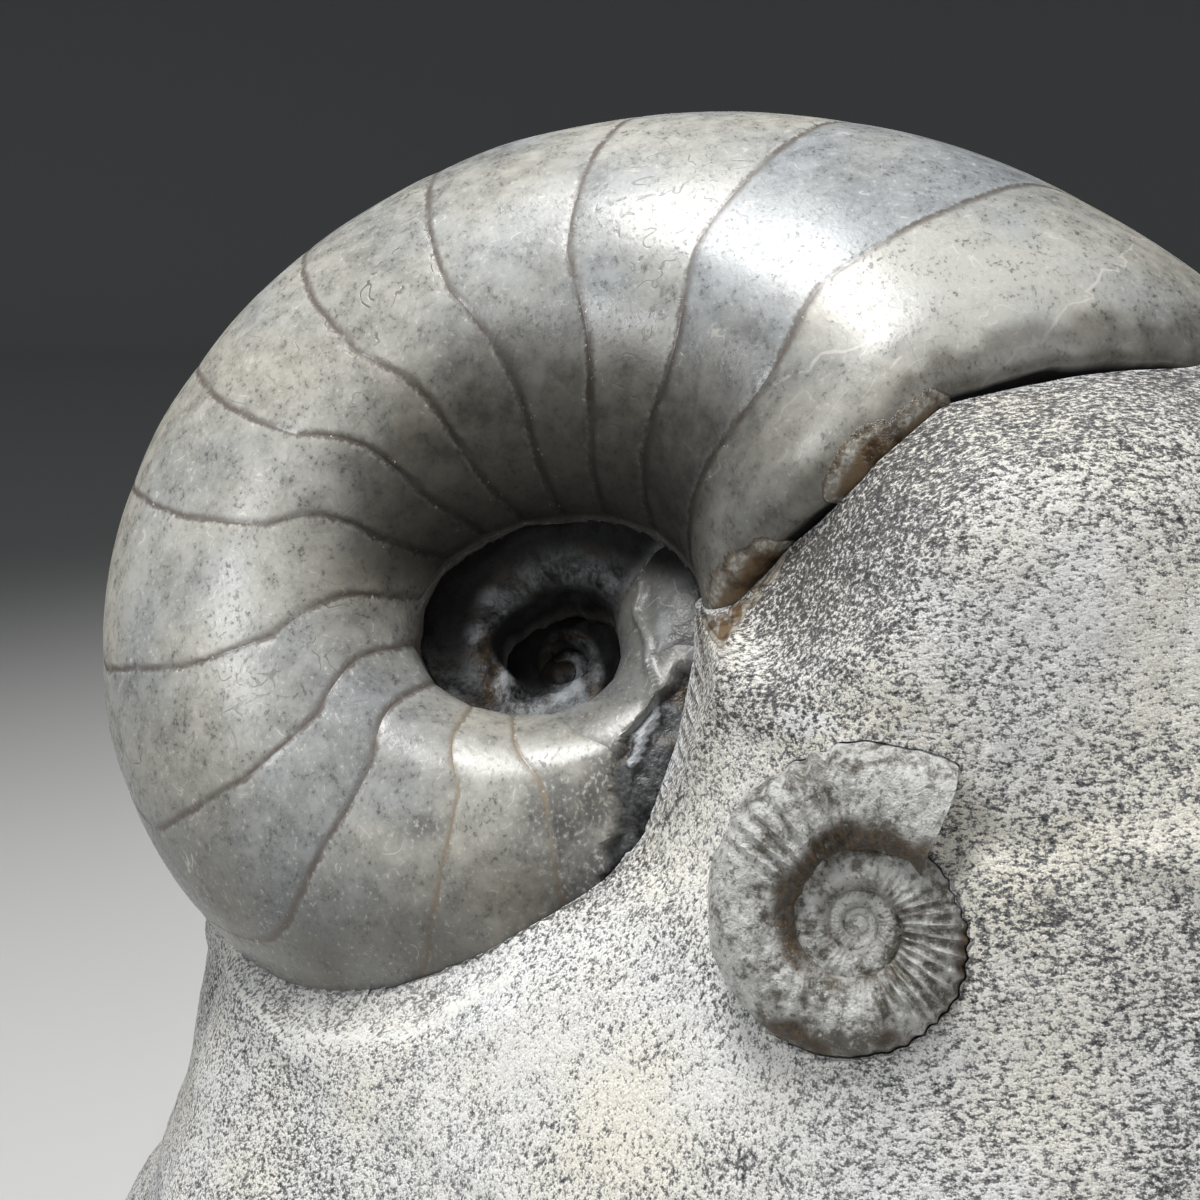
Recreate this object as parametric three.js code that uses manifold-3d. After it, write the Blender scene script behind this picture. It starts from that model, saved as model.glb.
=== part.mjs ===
// A polished fossil nautilus in its block of limestone matrix, with a small ribbed ammonite in the
// face of the same block.
//
// Millimetres, +Z up, +X to the right, -Y to the front. The block stands on its flat base, z = 0.
// A coil is described by its turn, an angle in radians that grows towards the mouth (0 points left,
// a quarter turn up, half a turn right), and by across, which runs over the whorl from the far
// umbilical seam (-1) over the outer edge (0) to the near umbilical seam (1).

import * as THREE from "three";
import { mergeVertices } from "three/addons/utils/BufferGeometryUtils.js";
import Module from "manifold-3d";

const wasm = await Module();
wasm.setup();

const { degToRad, lerp, clamp } = THREE.MathUtils;

// ---------------------------------------------------------------- driving dimensions

// Clear space kept between the stone and each fossil in it.
const JOINT_GAP = 0.3;
const END_GAP = 0.6; // at the broken end of the shell and the mouth of the ammonite
const START_LAP = degToRad(1.5);
const KNOB_SHARE = 0.7; // radius of the knob at the start of a coil, as a share of its first radius

// The model is drawn around the nautilus and then moved so that its base is centred on the origin.
const TO_BASE_CENTRE = [-21.9, 6.1, 0];

// The nautilus: an equiangular spiral, a little flared towards its mouth.
const NAUTILUS = {
  centre: [-4.5, 0, 62],
  lean: 53, // degrees that the flat of the coil is turned up from lying on its back
  turnAway: -9.8,
  roll: 12.5,
  radius: 44.6, // axis to outer edge, where the coil points left
  growth: 0.16, // natural log of the growth in each radian
  flare: 0.025,
  flareFrom: degToRad(103),
  firstTurn: -1000, // degrees
  crest: 0.5, // widest place of the whorl, as a share of the outer radius
  halfWidth: 0.43,
  outerPower: 2.03,
  foot: 0.238, // where the umbilical wall ends
  footHeight: 0.18,
  wallPower: 1.78,
  // On the last whorl the umbilical seam closes in and runs slightly oval.
  footClosing: -0.088,
  footOval: [0.106, 0.069],
  lateFrom: -3.6,
  lateOver: 0.6,
};

// The chamber walls meet the shell in sutures. The last one is where the shell ends.
const SUTURE_START = -11.8; // degrees
const SUTURE_PITCH = 21.93;
const LAST_SUTURE = 9;
// How far a suture runs ahead, in degrees, at even steps from the outer edge to the umbilical seam.
const SUTURE_SWEEP = [12.2, -4.1, -7, -6.2, 2.6, 9, 20.1];

// The small ammonite: an open coil with simple ribs.
const AMMONITE = {
  centre: [19.4, -42.5, 52.4],
  lean: 68,
  turnAway: -11.5,
  roll: 0,
  radius: 11.7,
  growth: 0.117,
  flare: 0,
  flareFrom: 0,
  firstTurn: -760,
  crest: 0.66,
  halfWidth: 0.3,
  outerPower: 2.2,
  foot: 0.37,
  footHeight: 0.15,
  wallPower: 2,
  footClosing: 0,
  footOval: [0, 0],
  lateFrom: 0,
  lateOver: 1,
};
const AMMONITE_MOUTH = [119, 24]; // degrees: turn at the outer edge, and how far the seam runs on
const RIBS_PER_TURN = 24;
const RIB_HEIGHT = 0.05; // share of the outer radius

// Where the stone's face meets the nautilus, from lower left to upper right:
// x, y and z, then the depth and width of the groove worked into the stone along it.
const SEAM = [
  [-52, -4, 39.5, 3, 4],
  [-36, -12.4, 38.4, 3, 4],
  [-28.7, -17.8, 36.1, 3, 4],
  [-17.5, -25.1, 39.2, 3, 4],
  [-8.8, -27.1, 44.1, 3, 4],
  [0, -26.5, 49.7, 3, 4],
  [3.4, -27, 52.8, 2, 3.5],
  [6.2, -29, 60, 1, 3],
  [8, -30, 66.4, 1, 3],
  [8.6, -28.5, 71.5, 2, 3],
  [9.6, -21, 74.6, 6, 6],
  [12.3, -21, 79.4, 8, 7],
  [16.8, -24, 83.8, 6, 7],
  [22.1, -25, 88.5, 5, 7],
  [26.8, -23.5, 92.5, 5, 7],
  [38.3, -21.5, 95.4, 5, 7],
  [49.2, -17.5, 95.9, 5, 7],
  [58, -14, 96.5, 4, 6],
  [90, -8, 108, 0, 4],
];
const GROOVE_POWER = 1.15; // 1 is a straight-sided groove with a crisp outer rim
const WALL_SLOPE = 7; // how steeply the stone drops behind the shell, past the seam

// Other points that the stone's front face passes through.
const FRONT_POSTS = [
  // the foot of the block
  [-50, -24, 0],
  [-30, -42, 2],
  [0, -55, 4],
  [30, -60, 6],
  [60, -56, 6],
  [84, -42, 0],
  // the slope under the nautilus
  [-39, -18, 28],
  [-26, -26, 30],
  [-25, -31, 23],
  [-12, -33, 35],
  [-12, -38, 28],
  [0, -34.5, 44],
  [0, -40, 37],
  [0, -45, 30],
  [6.5, -33, 51],
  // the swell that carries the ammonite
  [11, -41, 47],
  [14, -46, 40],
  [20, -43, 54],
  [29, -43, 60],
  [28, -48, 43],
  [28, -52, 35],
  [40, -46, 56],
  [42, -50, 44],
  [60, -48, 40],
  // the rise beside the umbilicus and under the broken edge
  [11.5, -32, 66],
  [19, -37, 72],
  [20, -34, 80],
  [29, -40, 73],
  [30, -37, 83],
  [43, -41, 73],
  [43, -35, 86],
  [58, -40, 70],
  [60, -30, 84],
  [68, -24, 90],
  [76, -28, 74],
  [76, -34, 56],
  [86, -26, 30],
];
const POST_SLACK = 6; // how loosely the face follows its posts

// Heights and edges of the block, each a list of [place, value].
const FRONT_TOP_OVER_X = [
  [-50, 46], [-30, 64], [-10, 79], [10, 86], [30, 92], [52, 95], [60, 92], [70, 86], [80, 74], [92, 54],
];
const BACK_TOP_OVER_X = [
  [-50, 42], [-30, 58], [-5, 72], [20, 72], [45, 64], [68, 60], [80, 54], [92, 44],
];
const LEFT_OVER_Z = [[0, -47], [10, -43], [20, -40], [30, -37], [40, -34.5], [60, -30], [100, -24]];
const RIGHT_OVER_Z = [[0, 84], [12, 88], [35, 89.5], [60, 87], [100, 76]];
const BACK_OVER_Z = [[0, 40], [12, 45], [40, 46], [60, 43], [80, 36], [100, 27]];
const BLOCK_REACH = [-45, 88]; // rough left and right ends
const EDGE_ROUND = 11;
const SIDE_BULGE = 4;
const SIDE_RELIEF = 0.6; // share of the broken relief that the sides have
const DOME_RISE = 5;

// Broken relief of the sides and back: waves of [amplitude, x, y and z per mm, offset], and ledges
// of [amplitude, x, y, z, place], each a step across a slanted bedding plane.
const FRONT_RELIEF = 0.3;
const WAVES = [
  [1.1, 0.09, 0.05, 0.12, 0.4],
  [0.8, -0.13, 0.1, 0.07, 2.1],
  [0.6, 0.05, -0.19, 0.16, 4.0],
  [0.5, 0.22, 0.12, -0.11, 1.2],
  [0.35, -0.17, 0.24, 0.25, 5.2],
];
const LEDGES = [
  [1.0, 0.18, 0.05, 0.98, 24],
  [-1.4, -0.22, 0.1, 0.97, 45],
  [1.3, 0.25, 0, 0.97, 66],
];
const LEDGE_SHARPNESS = 1.1;

// Mesh fineness.
const SHELL_ACROSS = {
  near: [0.08, 0.17, 0.26, 0.35, 0.43, 0.5, 0.58, 0.67, 0.76, 0.85, 0.93, 1],
  far: [0.12, 0.26, 0.4, 0.52, 0.68, 0.84, 1],
};
const INNER_ACROSS = { near: [0.25, 0.5, 0.62, 0.74, 0.86, 1], far: [0.5, 0.75, 1] };
const AMMONITE_ACROSS = { near: [0.3, 0.55, 0.8, 1], far: [0.6, 1] };
const INNER_RIBS_ACROSS = { near: [0.35, 0.68, 1], far: [0.6, 1] };
const KNOB_SIDES = [10, 6];
const STONE_COLUMNS = { front: 32, side: 5, back: 13 };
const STONE_ROWS = 22;
const STONE_CAP_ROWS = 4;

// ---------------------------------------------------------------- small mathematics

// A value read from a list of [place, value], eased between its entries.
function along(list, place) {
  const last = list.length - 1;
  if (place <= list[0][0]) return list[0][1];
  if (place >= list[last][0]) return list[last][1];
  const i = list.findIndex(([at]) => at > place) - 1;
  const t = (place - list[i][0]) / (list[i + 1][0] - list[i][0]);
  return lerp(list[i][1], list[i + 1][1], t * t * (3 - 2 * t));
}

// Solves a square system given as rows that each end with their right-hand side.
function solve(rows) {
  const n = rows.length;
  for (let i = 0; i < n; i++) {
    let best = i;
    for (let r = i + 1; r < n; r++) if (Math.abs(rows[r][i]) > Math.abs(rows[best][i])) best = r;
    [rows[i], rows[best]] = [rows[best], rows[i]];
    for (let r = 0; r < n; r++) {
      if (r === i) continue;
      const share = rows[r][i] / rows[i][i];
      for (let c = i; c <= n; c++) rows[r][c] -= share * rows[i][c];
    }
  }
  return rows.map((row, i) => row[n] / row[i]);
}

// A thin springy plate over (x, z), bent to pass near posts of [x, y, z]; it returns y.
function thinPlate(posts, slack) {
  const bend = (dx, dz) => {
    const square = dx * dx + dz * dz;
    return square < 1e-9 ? 0 : square * Math.log(square);
  };
  const rows = posts.map(([x, y, z], i) => [
    ...posts.map(([px, , pz], j) => bend(x - px, z - pz) + (i === j ? slack : 0)),
    1, x, z, y,
  ]);
  rows.push([...posts.map(() => 1), 0, 0, 0, 0]);
  rows.push([...posts.map(([x]) => x), 0, 0, 0, 0]);
  rows.push([...posts.map(([, , z]) => z), 0, 0, 0, 0]);
  const weights = solve(rows);
  const [level, slopeX, slopeZ] = weights.slice(posts.length);
  return (x, z) => posts.reduce(
    (sum, [px, , pz], i) => sum + weights[i] * bend(x - px, z - pz), level + slopeX * x + slopeZ * z);
}

// ---------------------------------------------------------------- solids from rings of points

// One closed solid from closed rings of equally many points, with a fan over each end.
function solidFromRings(rings) {
  const count = rings[0].length;
  const points = rings.flat();
  const triangles = [];
  for (let i = 0; i + 1 < rings.length; i++) {
    for (let j = 0; j < count; j++) {
      const next = (j + 1) % count;
      const [a, b] = [i * count + j, i * count + next];
      const [c, d] = [a + count, b + count];
      triangles.push([a, b, d], [a, d, c]);
    }
  }
  const addFan = (ring, flip) => {
    const middle = rings[ring].reduce((sum, p) => sum.add(p), new THREE.Vector3()).divideScalar(count);
    points.push(middle);
    for (let j = 0; j < count; j++) {
      const [a, b] = [ring * count + j, ring * count + ((j + 1) % count)];
      triangles.push(flip ? [b, a, points.length - 1] : [a, b, points.length - 1]);
    }
  };
  addFan(0, true);
  addFan(rings.length - 1, false);
  return solidFromTriangles(points, triangles);
}

// Faces are turned outwards by the sign of the enclosed volume.
function solidFromTriangles(points, triangles) {
  const edge = new THREE.Vector3();
  const volume = triangles.reduce(
    (sum, [a, b, c]) => sum + points[a].dot(edge.crossVectors(points[b], points[c])), 0);
  const outward = volume > 0 ? triangles : triangles.map(([a, b, c]) => [a, c, b]);
  return new wasm.Manifold(new wasm.Mesh({
    numProp: 3,
    vertProperties: new Float32Array(points.flatMap((p) => p.toArray())),
    triVerts: new Uint32Array(outward.flat()),
  }));
}

// A three.js geometry as a solid, its doubled vertices merged.
function solidFromGeometry(geometry) {
  geometry.deleteAttribute("normal");
  geometry.deleteAttribute("uv");
  const { index, attributes } = mergeVertices(geometry);
  return new wasm.Manifold(new wasm.Mesh({
    numProp: 3,
    vertProperties: attributes.position.array,
    triVerts: new Uint32Array(index.array),
  }));
}

const joined = (solids) => solids.reduce((whole, piece) => whole.add(piece));

// The main body of a solid, without loose crumbs or sealed pores.
function largestBody(solid) {
  return solid.decompose().reduce((best, body) => (body.volume() > best.volume() ? body : best));
}

function namedMesh(name, solid, look) {
  const { vertProperties, triVerts, numProp } = solid.getMesh();
  const geometry = new THREE.BufferGeometry();
  const interleaved = new THREE.InterleavedBuffer(vertProperties, numProp);
  geometry.setAttribute("position", new THREE.InterleavedBufferAttribute(interleaved, 3, 0));
  geometry.setIndex(new THREE.BufferAttribute(triVerts, 1));
  const mesh = new THREE.Mesh(geometry, new THREE.MeshStandardMaterial(look));
  mesh.name = name;
  return mesh;
}

// ---------------------------------------------------------------- coiled shells

function outerRadius(coil, turn) {
  const late = Math.max(0, turn - coil.flareFrom);
  return coil.radius * Math.exp(coil.growth * turn + coil.flare * late * late);
}

function footShare(coil, turn) {
  const late = 1 / (1 + Math.exp((coil.lateFrom - turn) / coil.lateOver));
  const [oval, oblique] = coil.footOval;
  const change = coil.footClosing * turn + oval * Math.cos(2 * turn) + oblique * Math.sin(2 * turn);
  return coil.foot * Math.exp(late * change);
}

// Outline of the whorl as shares of the outer radius: [distance from the axis, height]. A
// superellipse runs from the outer edge to the crest, and another down the umbilical wall.
function whorlOutline(coil, turn, across) {
  const side = Math.sign(across);
  const place = Math.abs(across) * 2;
  if (place <= 1) {
    const angle = (place * Math.PI) / 2;
    const power = 2 / coil.outerPower;
    return [
      coil.crest + (1 - coil.crest) * Math.cos(angle) ** power,
      side * coil.halfWidth * Math.sin(angle) ** power,
    ];
  }
  const angle = (Math.min(place - 1, 1) * Math.PI) / 2;
  const power = 2 / coil.wallPower;
  const foot = footShare(coil, turn);
  return [
    coil.crest - (coil.crest - foot) * Math.sin(angle) ** power,
    side * (coil.footHeight + (coil.halfWidth - coil.footHeight) * Math.max(0, Math.cos(angle)) ** power),
  ];
}

// A point of the coil in its own frame, pushed out from the surface by gap.
function coilPoint(coil, turn, across, gap, relief = 0) {
  const radius = outerRadius(coil, turn);
  const [rho, height] = whorlOutline(coil, turn, across);
  const step = 0.01;
  const ahead = whorlOutline(coil, turn, clamp(across + step, -1, 1));
  const behind = whorlOutline(coil, turn, clamp(across - step, -1, 1));
  const [alongRho, alongHeight] = [ahead[0] - behind[0], ahead[1] - behind[1]];
  const push = (gap + relief * radius) / Math.hypot(alongRho, alongHeight);
  const distance = rho * radius + alongHeight * push;
  return new THREE.Vector3(
    -distance * Math.cos(turn),
    distance * Math.sin(turn),
    height * radius - alongRho * push,
  );
}

// A length of the coil from one turn to another, each of which may depend on across. The ring
// closes on the inner side with a wall parallel to the axis, which sinks into the whorl before.
function coilLength(coil, { from, to, rows, across: { near, far } }, gap, relief = () => 0) {
  const ring = [...far.map((across) => -across).reverse(), 0, ...near];
  const rings = [];
  for (let i = 0; i <= rows; i++) {
    rings.push(ring.map((across) => {
      const turn = lerp(from(across), to(across), i / rows);
      return coilPoint(coil, turn, across, gap, relief(turn, across));
    }));
  }
  return solidFromRings(rings);
}

// Whole coil: short lengths joined, so that each whorl is fused to the one inside it. A grown coil
// starts each length a little early, which keeps the gap at the steps between them.
function wholeCoil(coil, lengths, gap, relief) {
  const lap = gap === 0 ? 0 : START_LAP;
  const knob = outerRadius(coil, degToRad(coil.firstTurn)) * KNOB_SHARE + gap;
  return joined([
    solidFromGeometry(new THREE.SphereGeometry(knob, ...KNOB_SIDES)),
    ...lengths.map((length) =>
      coilLength(coil, { ...length, from: (across) => length.from(across) - lap }, gap, relief)),
  ]);
}

// The turn that carries the end of a grown coil clear of the end of the true one.
function overrun(coil, turn, across, gap) {
  if (gap === 0) return 0;
  return END_GAP / (whorlOutline(coil, turn, across)[0] * outerRadius(coil, turn));
}

function placeCoil(coil, solid) {
  const [x, y, z] = [coil.lean, coil.turnAway, coil.roll].map(degToRad);
  const placement = new THREE.Matrix4()
    .makeRotationFromEuler(new THREE.Euler(x, y, z, "XYZ"))
    .setPosition(...coil.centre);
  return solid.transform(placement.toArray());
}

// ---------------------------------------------------------------- nautilus

// A smooth curve through the listed sweeps and their mirror images, so that a suture crosses the
// outer edge without a kink.
const mirroredSweep = [...SUTURE_SWEEP.slice(1).reverse(), ...SUTURE_SWEEP];
const sweepCurve = new THREE.SplineCurve(mirroredSweep.map((sweep, i) => new THREE.Vector2(i, sweep)));

// Sweep of a suture in radians.
const sutureSweep = (across) => degToRad(sweepCurve.getPoint((across + 1) / 2).y);

function shellEnd(across) {
  return degToRad(SUTURE_START + LAST_SUTURE * SUTURE_PITCH) + sutureSweep(across);
}

function nautilusSolid(gap) {
  const at = (degrees) => () => degToRad(degrees);
  const end = (across) => shellEnd(across) + overrun(NAUTILUS, shellEnd(across), across, gap);
  const lengths = [
    { from: at(NAUTILUS.firstTurn), to: at(-720), rows: 8, across: INNER_ACROSS },
    { from: at(-720), to: at(-440), rows: 13, across: INNER_ACROSS },
    { from: at(-440), to: at(-160), rows: 16, across: INNER_ACROSS },
    { from: at(-160), to: at(30), rows: 18, across: SHELL_ACROSS },
    { from: at(30), to: end, rows: 18, across: SHELL_ACROSS },
  ];
  return placeCoil(NAUTILUS, wholeCoil(NAUTILUS, lengths, gap));
}

// ---------------------------------------------------------------- ammonite

function ribRelief(turn, across) {
  const onFlank = Math.sin(Math.PI * clamp(Math.abs(across) / 0.95, 0, 1)) ** 0.5;
  return RIB_HEIGHT * onFlank * (0.5 + 0.5 * Math.cos(turn * RIBS_PER_TURN)) - RIB_HEIGHT / 2;
}

function ammoniteEnd(across) {
  const [mouth, runOn] = AMMONITE_MOUTH;
  return degToRad(mouth + runOn * Math.abs(across));
}

function ammoniteSolid() {
  const at = (degrees) => () => degToRad(degrees);
  const lengths = [
    { from: at(AMMONITE.firstTurn), to: at(-487.5), rows: 9, across: INNER_RIBS_ACROSS },
    { from: at(-487.5), to: at(-187.5), rows: 40, across: INNER_RIBS_ACROSS },
    { from: at(-187.5), to: ammoniteEnd, rows: 42, across: AMMONITE_ACROSS },
  ];
  return placeCoil(AMMONITE, wholeCoil(AMMONITE, lengths, 0, ribRelief));
}

// The hollow that the ammonite sits in follows the tops of its ribs.
function ammoniteHollow() {
  const at = (degrees) => () => degToRad(degrees);
  const end = (across) => {
    const turn = ammoniteEnd(across);
    return turn + overrun(AMMONITE, turn, across, JOINT_GAP);
  };
  const lengths = [
    { from: at(AMMONITE.firstTurn), to: at(-487.5), rows: 8, across: INNER_RIBS_ACROSS },
    { from: at(-487.5), to: at(-187.5), rows: 15, across: INNER_RIBS_ACROSS },
    { from: at(-187.5), to: end, rows: 20, across: AMMONITE_ACROSS },
  ];
  const ribTops = () => RIB_HEIGHT / 2;
  return placeCoil(AMMONITE, wholeCoil(AMMONITE, lengths, JOINT_GAP, ribTops));
}

// ---------------------------------------------------------------- matrix stone

const seamBase = SEAM.map(([x, y, z, groove]) => [x, y - groove, z]);
const plainFront = thinPlate([...seamBase, ...FRONT_POSTS], POST_SLACK);

// Nearest place on the seam: its signed distance, positive on the stone's side, and its groove.
function nearestOnSeam(x, z) {
  let best = { distance: Infinity };
  for (let i = 0; i + 1 < SEAM.length; i++) {
    const [a, b] = [SEAM[i], SEAM[i + 1]];
    const [runX, runZ] = [b[0] - a[0], b[2] - a[2]];
    const share = clamp(((x - a[0]) * runX + (z - a[2]) * runZ) / (runX ** 2 + runZ ** 2), 0, 1);
    const [offX, offZ] = [x - a[0] - share * runX, z - a[2] - share * runZ];
    const distance = Math.hypot(offX, offZ);
    if (distance >= best.distance) continue;
    const stoneSide = runX * offZ - runZ * offX < 0;
    best = {
      distance,
      signed: stoneSide ? distance : -distance,
      groove: lerp(a[3], b[3], share),
      width: lerp(a[4], b[4], share),
    };
  }
  return best;
}

// Middle plane of the nautilus, as y over (x, z).
function shellPlane(x, z) {
  const [lean, turnAway] = [degToRad(NAUTILUS.lean), degToRad(NAUTILUS.turnAway)];
  const axis = [
    Math.sin(turnAway),
    -Math.sin(lean) * Math.cos(turnAway),
    Math.cos(lean) * Math.cos(turnAway),
  ];
  const [cx, cy, cz] = NAUTILUS.centre;
  return cy - (axis[0] * (x - cx) + axis[2] * (z - cz)) / axis[1];
}

// The front face: the bent plate, grooved beside the seam, dropping to the shell's middle past it.
function stoneFront(x, z) {
  const seam = nearestOnSeam(x, z);
  const plate = plainFront(x, z);
  const nearness = Math.max(0, 1 - Math.abs(seam.signed) / seam.width);
  if (seam.signed >= 0) return plate + seam.groove * nearness ** GROOVE_POWER;
  const atSeam = plate + seam.groove;
  return Math.max(atSeam, Math.min(atSeam + WALL_SLOPE * -seam.signed, shellPlane(x, z)));
}

// Broken relief at a point, in millimetres outwards.
function brokenRelief(x, y, z) {
  const waves = WAVES.reduce((sum, [size, kx, ky, kz, offset]) =>
    sum + size * Math.sin(kx * x + ky * y + kz * z + offset), 0);
  const ledges = LEDGES.reduce((sum, [size, kx, ky, kz, place]) =>
    sum + size * Math.tanh((kx * x + ky * y + kz * z - place) * LEDGE_SHARPNESS), 0);
  return waves + ledges;
}

// How far a quarter-round edge falls back at a given distance from the edge.
function edgeFall(distance) {
  const inward = Math.max(0, EDGE_ROUND - distance);
  return EDGE_ROUND - Math.sqrt(EDGE_ROUND ** 2 - inward ** 2);
}

// One ring of the block at a share of its height: along the front to the right, round the right
// side, back to the left, and round the left side.
function stoneRing(rise) {
  const place = (share, tops) => {
    const roughZ = rise * along(tops, lerp(...BLOCK_REACH, share));
    const left = along(LEFT_OVER_Z, roughZ);
    const right = along(RIGHT_OVER_Z, roughZ);
    const x = lerp(left, right, share);
    const top = along(tops, x);
    const z = rise * top;
    const fall = edgeFall(Math.min(share, 1 - share) * (right - left)) + edgeFall(top - z);
    return { x, z, fall };
  };
  const front = (share) => {
    const { x, z, fall } = place(share, FRONT_TOP_OVER_X);
    const y = stoneFront(x, z) + fall;
    return new THREE.Vector3(x, y - FRONT_RELIEF * brokenRelief(x, y, z), z);
  };
  const back = (share) => {
    const { x, z, fall } = place(share, BACK_TOP_OVER_X);
    const y = along(BACK_OVER_Z, z) - fall;
    return new THREE.Vector3(x, y + brokenRelief(x, y, z), z);
  };
  const side = (share, outward) => {
    const [start, end] = [front(share), back(share)];
    const { side: count } = STONE_COLUMNS;
    const points = [];
    for (let i = 1; i < count; i++) {
      const point = new THREE.Vector3().lerpVectors(start, end, i / count);
      const swell = Math.sin((Math.PI * i) / count);
      point.x += outward * swell * (SIDE_BULGE + SIDE_RELIEF * brokenRelief(point.x, point.y, point.z));
      points.push(point);
    }
    return points;
  };
  const run = (count, make) => Array.from({ length: count + 1 }, (_, i) => make(i / count));
  return [
    ...run(STONE_COLUMNS.front, front),
    ...side(1, 1),
    ...run(STONE_COLUMNS.back, (share) => back(1 - share)),
    ...side(0, -1).reverse(),
  ];
}

// Rings up the block, then rings that close over its top.
function stoneSolid() {
  const rings = [];
  for (let i = 0; i <= STONE_ROWS; i++) rings.push(stoneRing(i / STONE_ROWS));
  const rim = rings[STONE_ROWS];
  const middle = rim.reduce((sum, p) => sum.add(p), new THREE.Vector3()).divideScalar(rim.length);
  for (let i = 1; i < STONE_CAP_ROWS; i++) {
    const inward = i / STONE_CAP_ROWS;
    rings.push(rim.map((p) => {
      const point = p.clone().lerp(middle, inward);
      point.z += DOME_RISE * (1 - (1 - inward) ** 2);
      return point;
    }));
  }
  return solidFromRings(rings);
}

// ---------------------------------------------------------------- the whole part

const part = new THREE.Group();
part.position.set(...TO_BASE_CENTRE);

const LIMESTONE = { color: 0xb4afa5, roughness: 0.95, metalness: 0 };
const POLISHED_SHELL = { color: 0x8b867c, roughness: 0.35, metalness: 0 };
const ROUGH_SHELL = { color: 0x6e6a63, roughness: 0.5, metalness: 0 };

const block = stoneSolid().subtract(nautilusSolid(JOINT_GAP)).subtract(ammoniteHollow());
part.add(namedMesh("matrix", largestBody(block), LIMESTONE));
part.add(namedMesh("nautilus", largestBody(nautilusSolid(0)), POLISHED_SHELL));
part.add(namedMesh("ammonite", largestBody(ammoniteSolid()), ROUGH_SHELL));

export default part;
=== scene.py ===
"""A polished fossil nautilus in its limestone block, with a small ribbed ammonite in the same face.

Shapes are drawn in millimetres around the nautilus, just as in the solids, and then put in the frame.
A coil is described by its turn, an angle that grows towards the mouth (0 points left, a quarter
turn up, half a turn right), and by across, which runs over the whorl from the far umbilical seam
(-1) over the outer edge (0) to the near umbilical seam (1). On the nautilus, phase counts sutures:
a line of equal phase follows a suture.
"""

import functools
import itertools
from dataclasses import dataclass

import bmesh
import bpy
import numpy as np
from mathutils import Matrix, Vector


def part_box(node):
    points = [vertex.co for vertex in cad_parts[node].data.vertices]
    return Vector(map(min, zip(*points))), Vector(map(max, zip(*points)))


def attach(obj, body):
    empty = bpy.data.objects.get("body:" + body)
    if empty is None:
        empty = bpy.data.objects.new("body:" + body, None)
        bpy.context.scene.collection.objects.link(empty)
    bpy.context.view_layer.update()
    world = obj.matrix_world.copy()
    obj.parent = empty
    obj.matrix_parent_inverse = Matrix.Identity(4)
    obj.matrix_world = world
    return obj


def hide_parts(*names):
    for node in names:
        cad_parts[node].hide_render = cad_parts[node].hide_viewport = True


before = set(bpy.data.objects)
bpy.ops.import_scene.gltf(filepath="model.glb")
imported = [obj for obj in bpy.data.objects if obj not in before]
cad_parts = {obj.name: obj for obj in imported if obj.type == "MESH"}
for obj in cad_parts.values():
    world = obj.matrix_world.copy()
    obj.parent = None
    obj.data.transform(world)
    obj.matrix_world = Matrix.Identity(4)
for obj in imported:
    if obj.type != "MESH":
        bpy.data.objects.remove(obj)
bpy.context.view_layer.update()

MM = 0.001  # metres
TURN = 360.0

# ---------------------------------------------------------------- driving dimensions


@dataclass
class Coil:
    """An equiangular spiral with a whorl outline given as shares of its outer radius."""

    centre: tuple
    lean: float  # degrees that the flat of the coil is turned up from lying on its back
    turn_away: float
    roll: float
    radius: float  # axis to outer edge, where the coil points left
    growth: float  # natural log of the growth in each radian
    flare: float
    flare_from: float
    first_turn: float
    crest: float  # widest place of the whorl
    half_width: float
    outer_power: float
    foot: float  # where the umbilical wall ends
    foot_height: float
    wall_power: float
    foot_closing: float = 0.0
    foot_oval: tuple = (0.0, 0.0)
    late_from: float = 0.0
    late_over: float = 1.0
    foot_change: tuple = ((0, 1), (1, 1))  # (turn, factor) on the foot
    sinking: tuple = ((0, 0), (1, 0))  # (turn, millimetres) that the inner whorls lie deeper


NAUTILUS = Coil(
    centre=(-4.5, 0, 62), lean=53, turn_away=-9.8, roll=12.5,
    radius=44.6, growth=0.16, flare=0.025, flare_from=103, first_turn=-1000,
    crest=0.5, half_width=0.43, outer_power=2.03, foot=0.238, foot_height=0.18, wall_power=1.78,
    foot_closing=-0.088, foot_oval=(0.106, 0.069), late_from=-3.6, late_over=0.6,
    foot_change=((-700, 1.2), (-450, 1.4), (-360, 1.25), (-270, 0.78), (-180, 0.8), (-90, 1)),
    sinking=((-1000, 4), (-620, 2.8), (-450, 1.5), (-200, 0)),
)
SUTURE_START = -11.8
SUTURE_PITCH = 21.93
LAST_SUTURE = 9
SUTURE_SWEEP = [12.2, -4.1, -7, -6.2, 2.6, 9, 20.1]  # degrees ahead, outer edge to umbilical seam

STRAYS_FROM = -2
STRAYS_STEP = 0.2

# Degrees that sutures -2 to 9 run ahead of their even spacing, at across 0.2, 0.4, 0.6, 0.8 and 1.
STRAYS = np.array([
    (0, 0, 0, 0, 0), (0, 0.4, 2, 2, 0), (1.5, -2.3, -1.8, 1.5, 0), (4.2, -0.8, -1.7, 1.3, 0),
    (8, 3.6, 2.4, 0.6, 0), (4.6, 1.2, 2, 0.5, 0), (3, 0.6, 0.4, -0.4, 0), (-0.3, -0.8, -0.3, 2.6, 0),
    (0.9, 0.4, 0, 2, 0), (0.8, 1.1, -0.6, -0.4, 0), (-1, 0.8, -0.6, -0.6, 0), (0, 0, 0, 0, 0),
])

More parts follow.
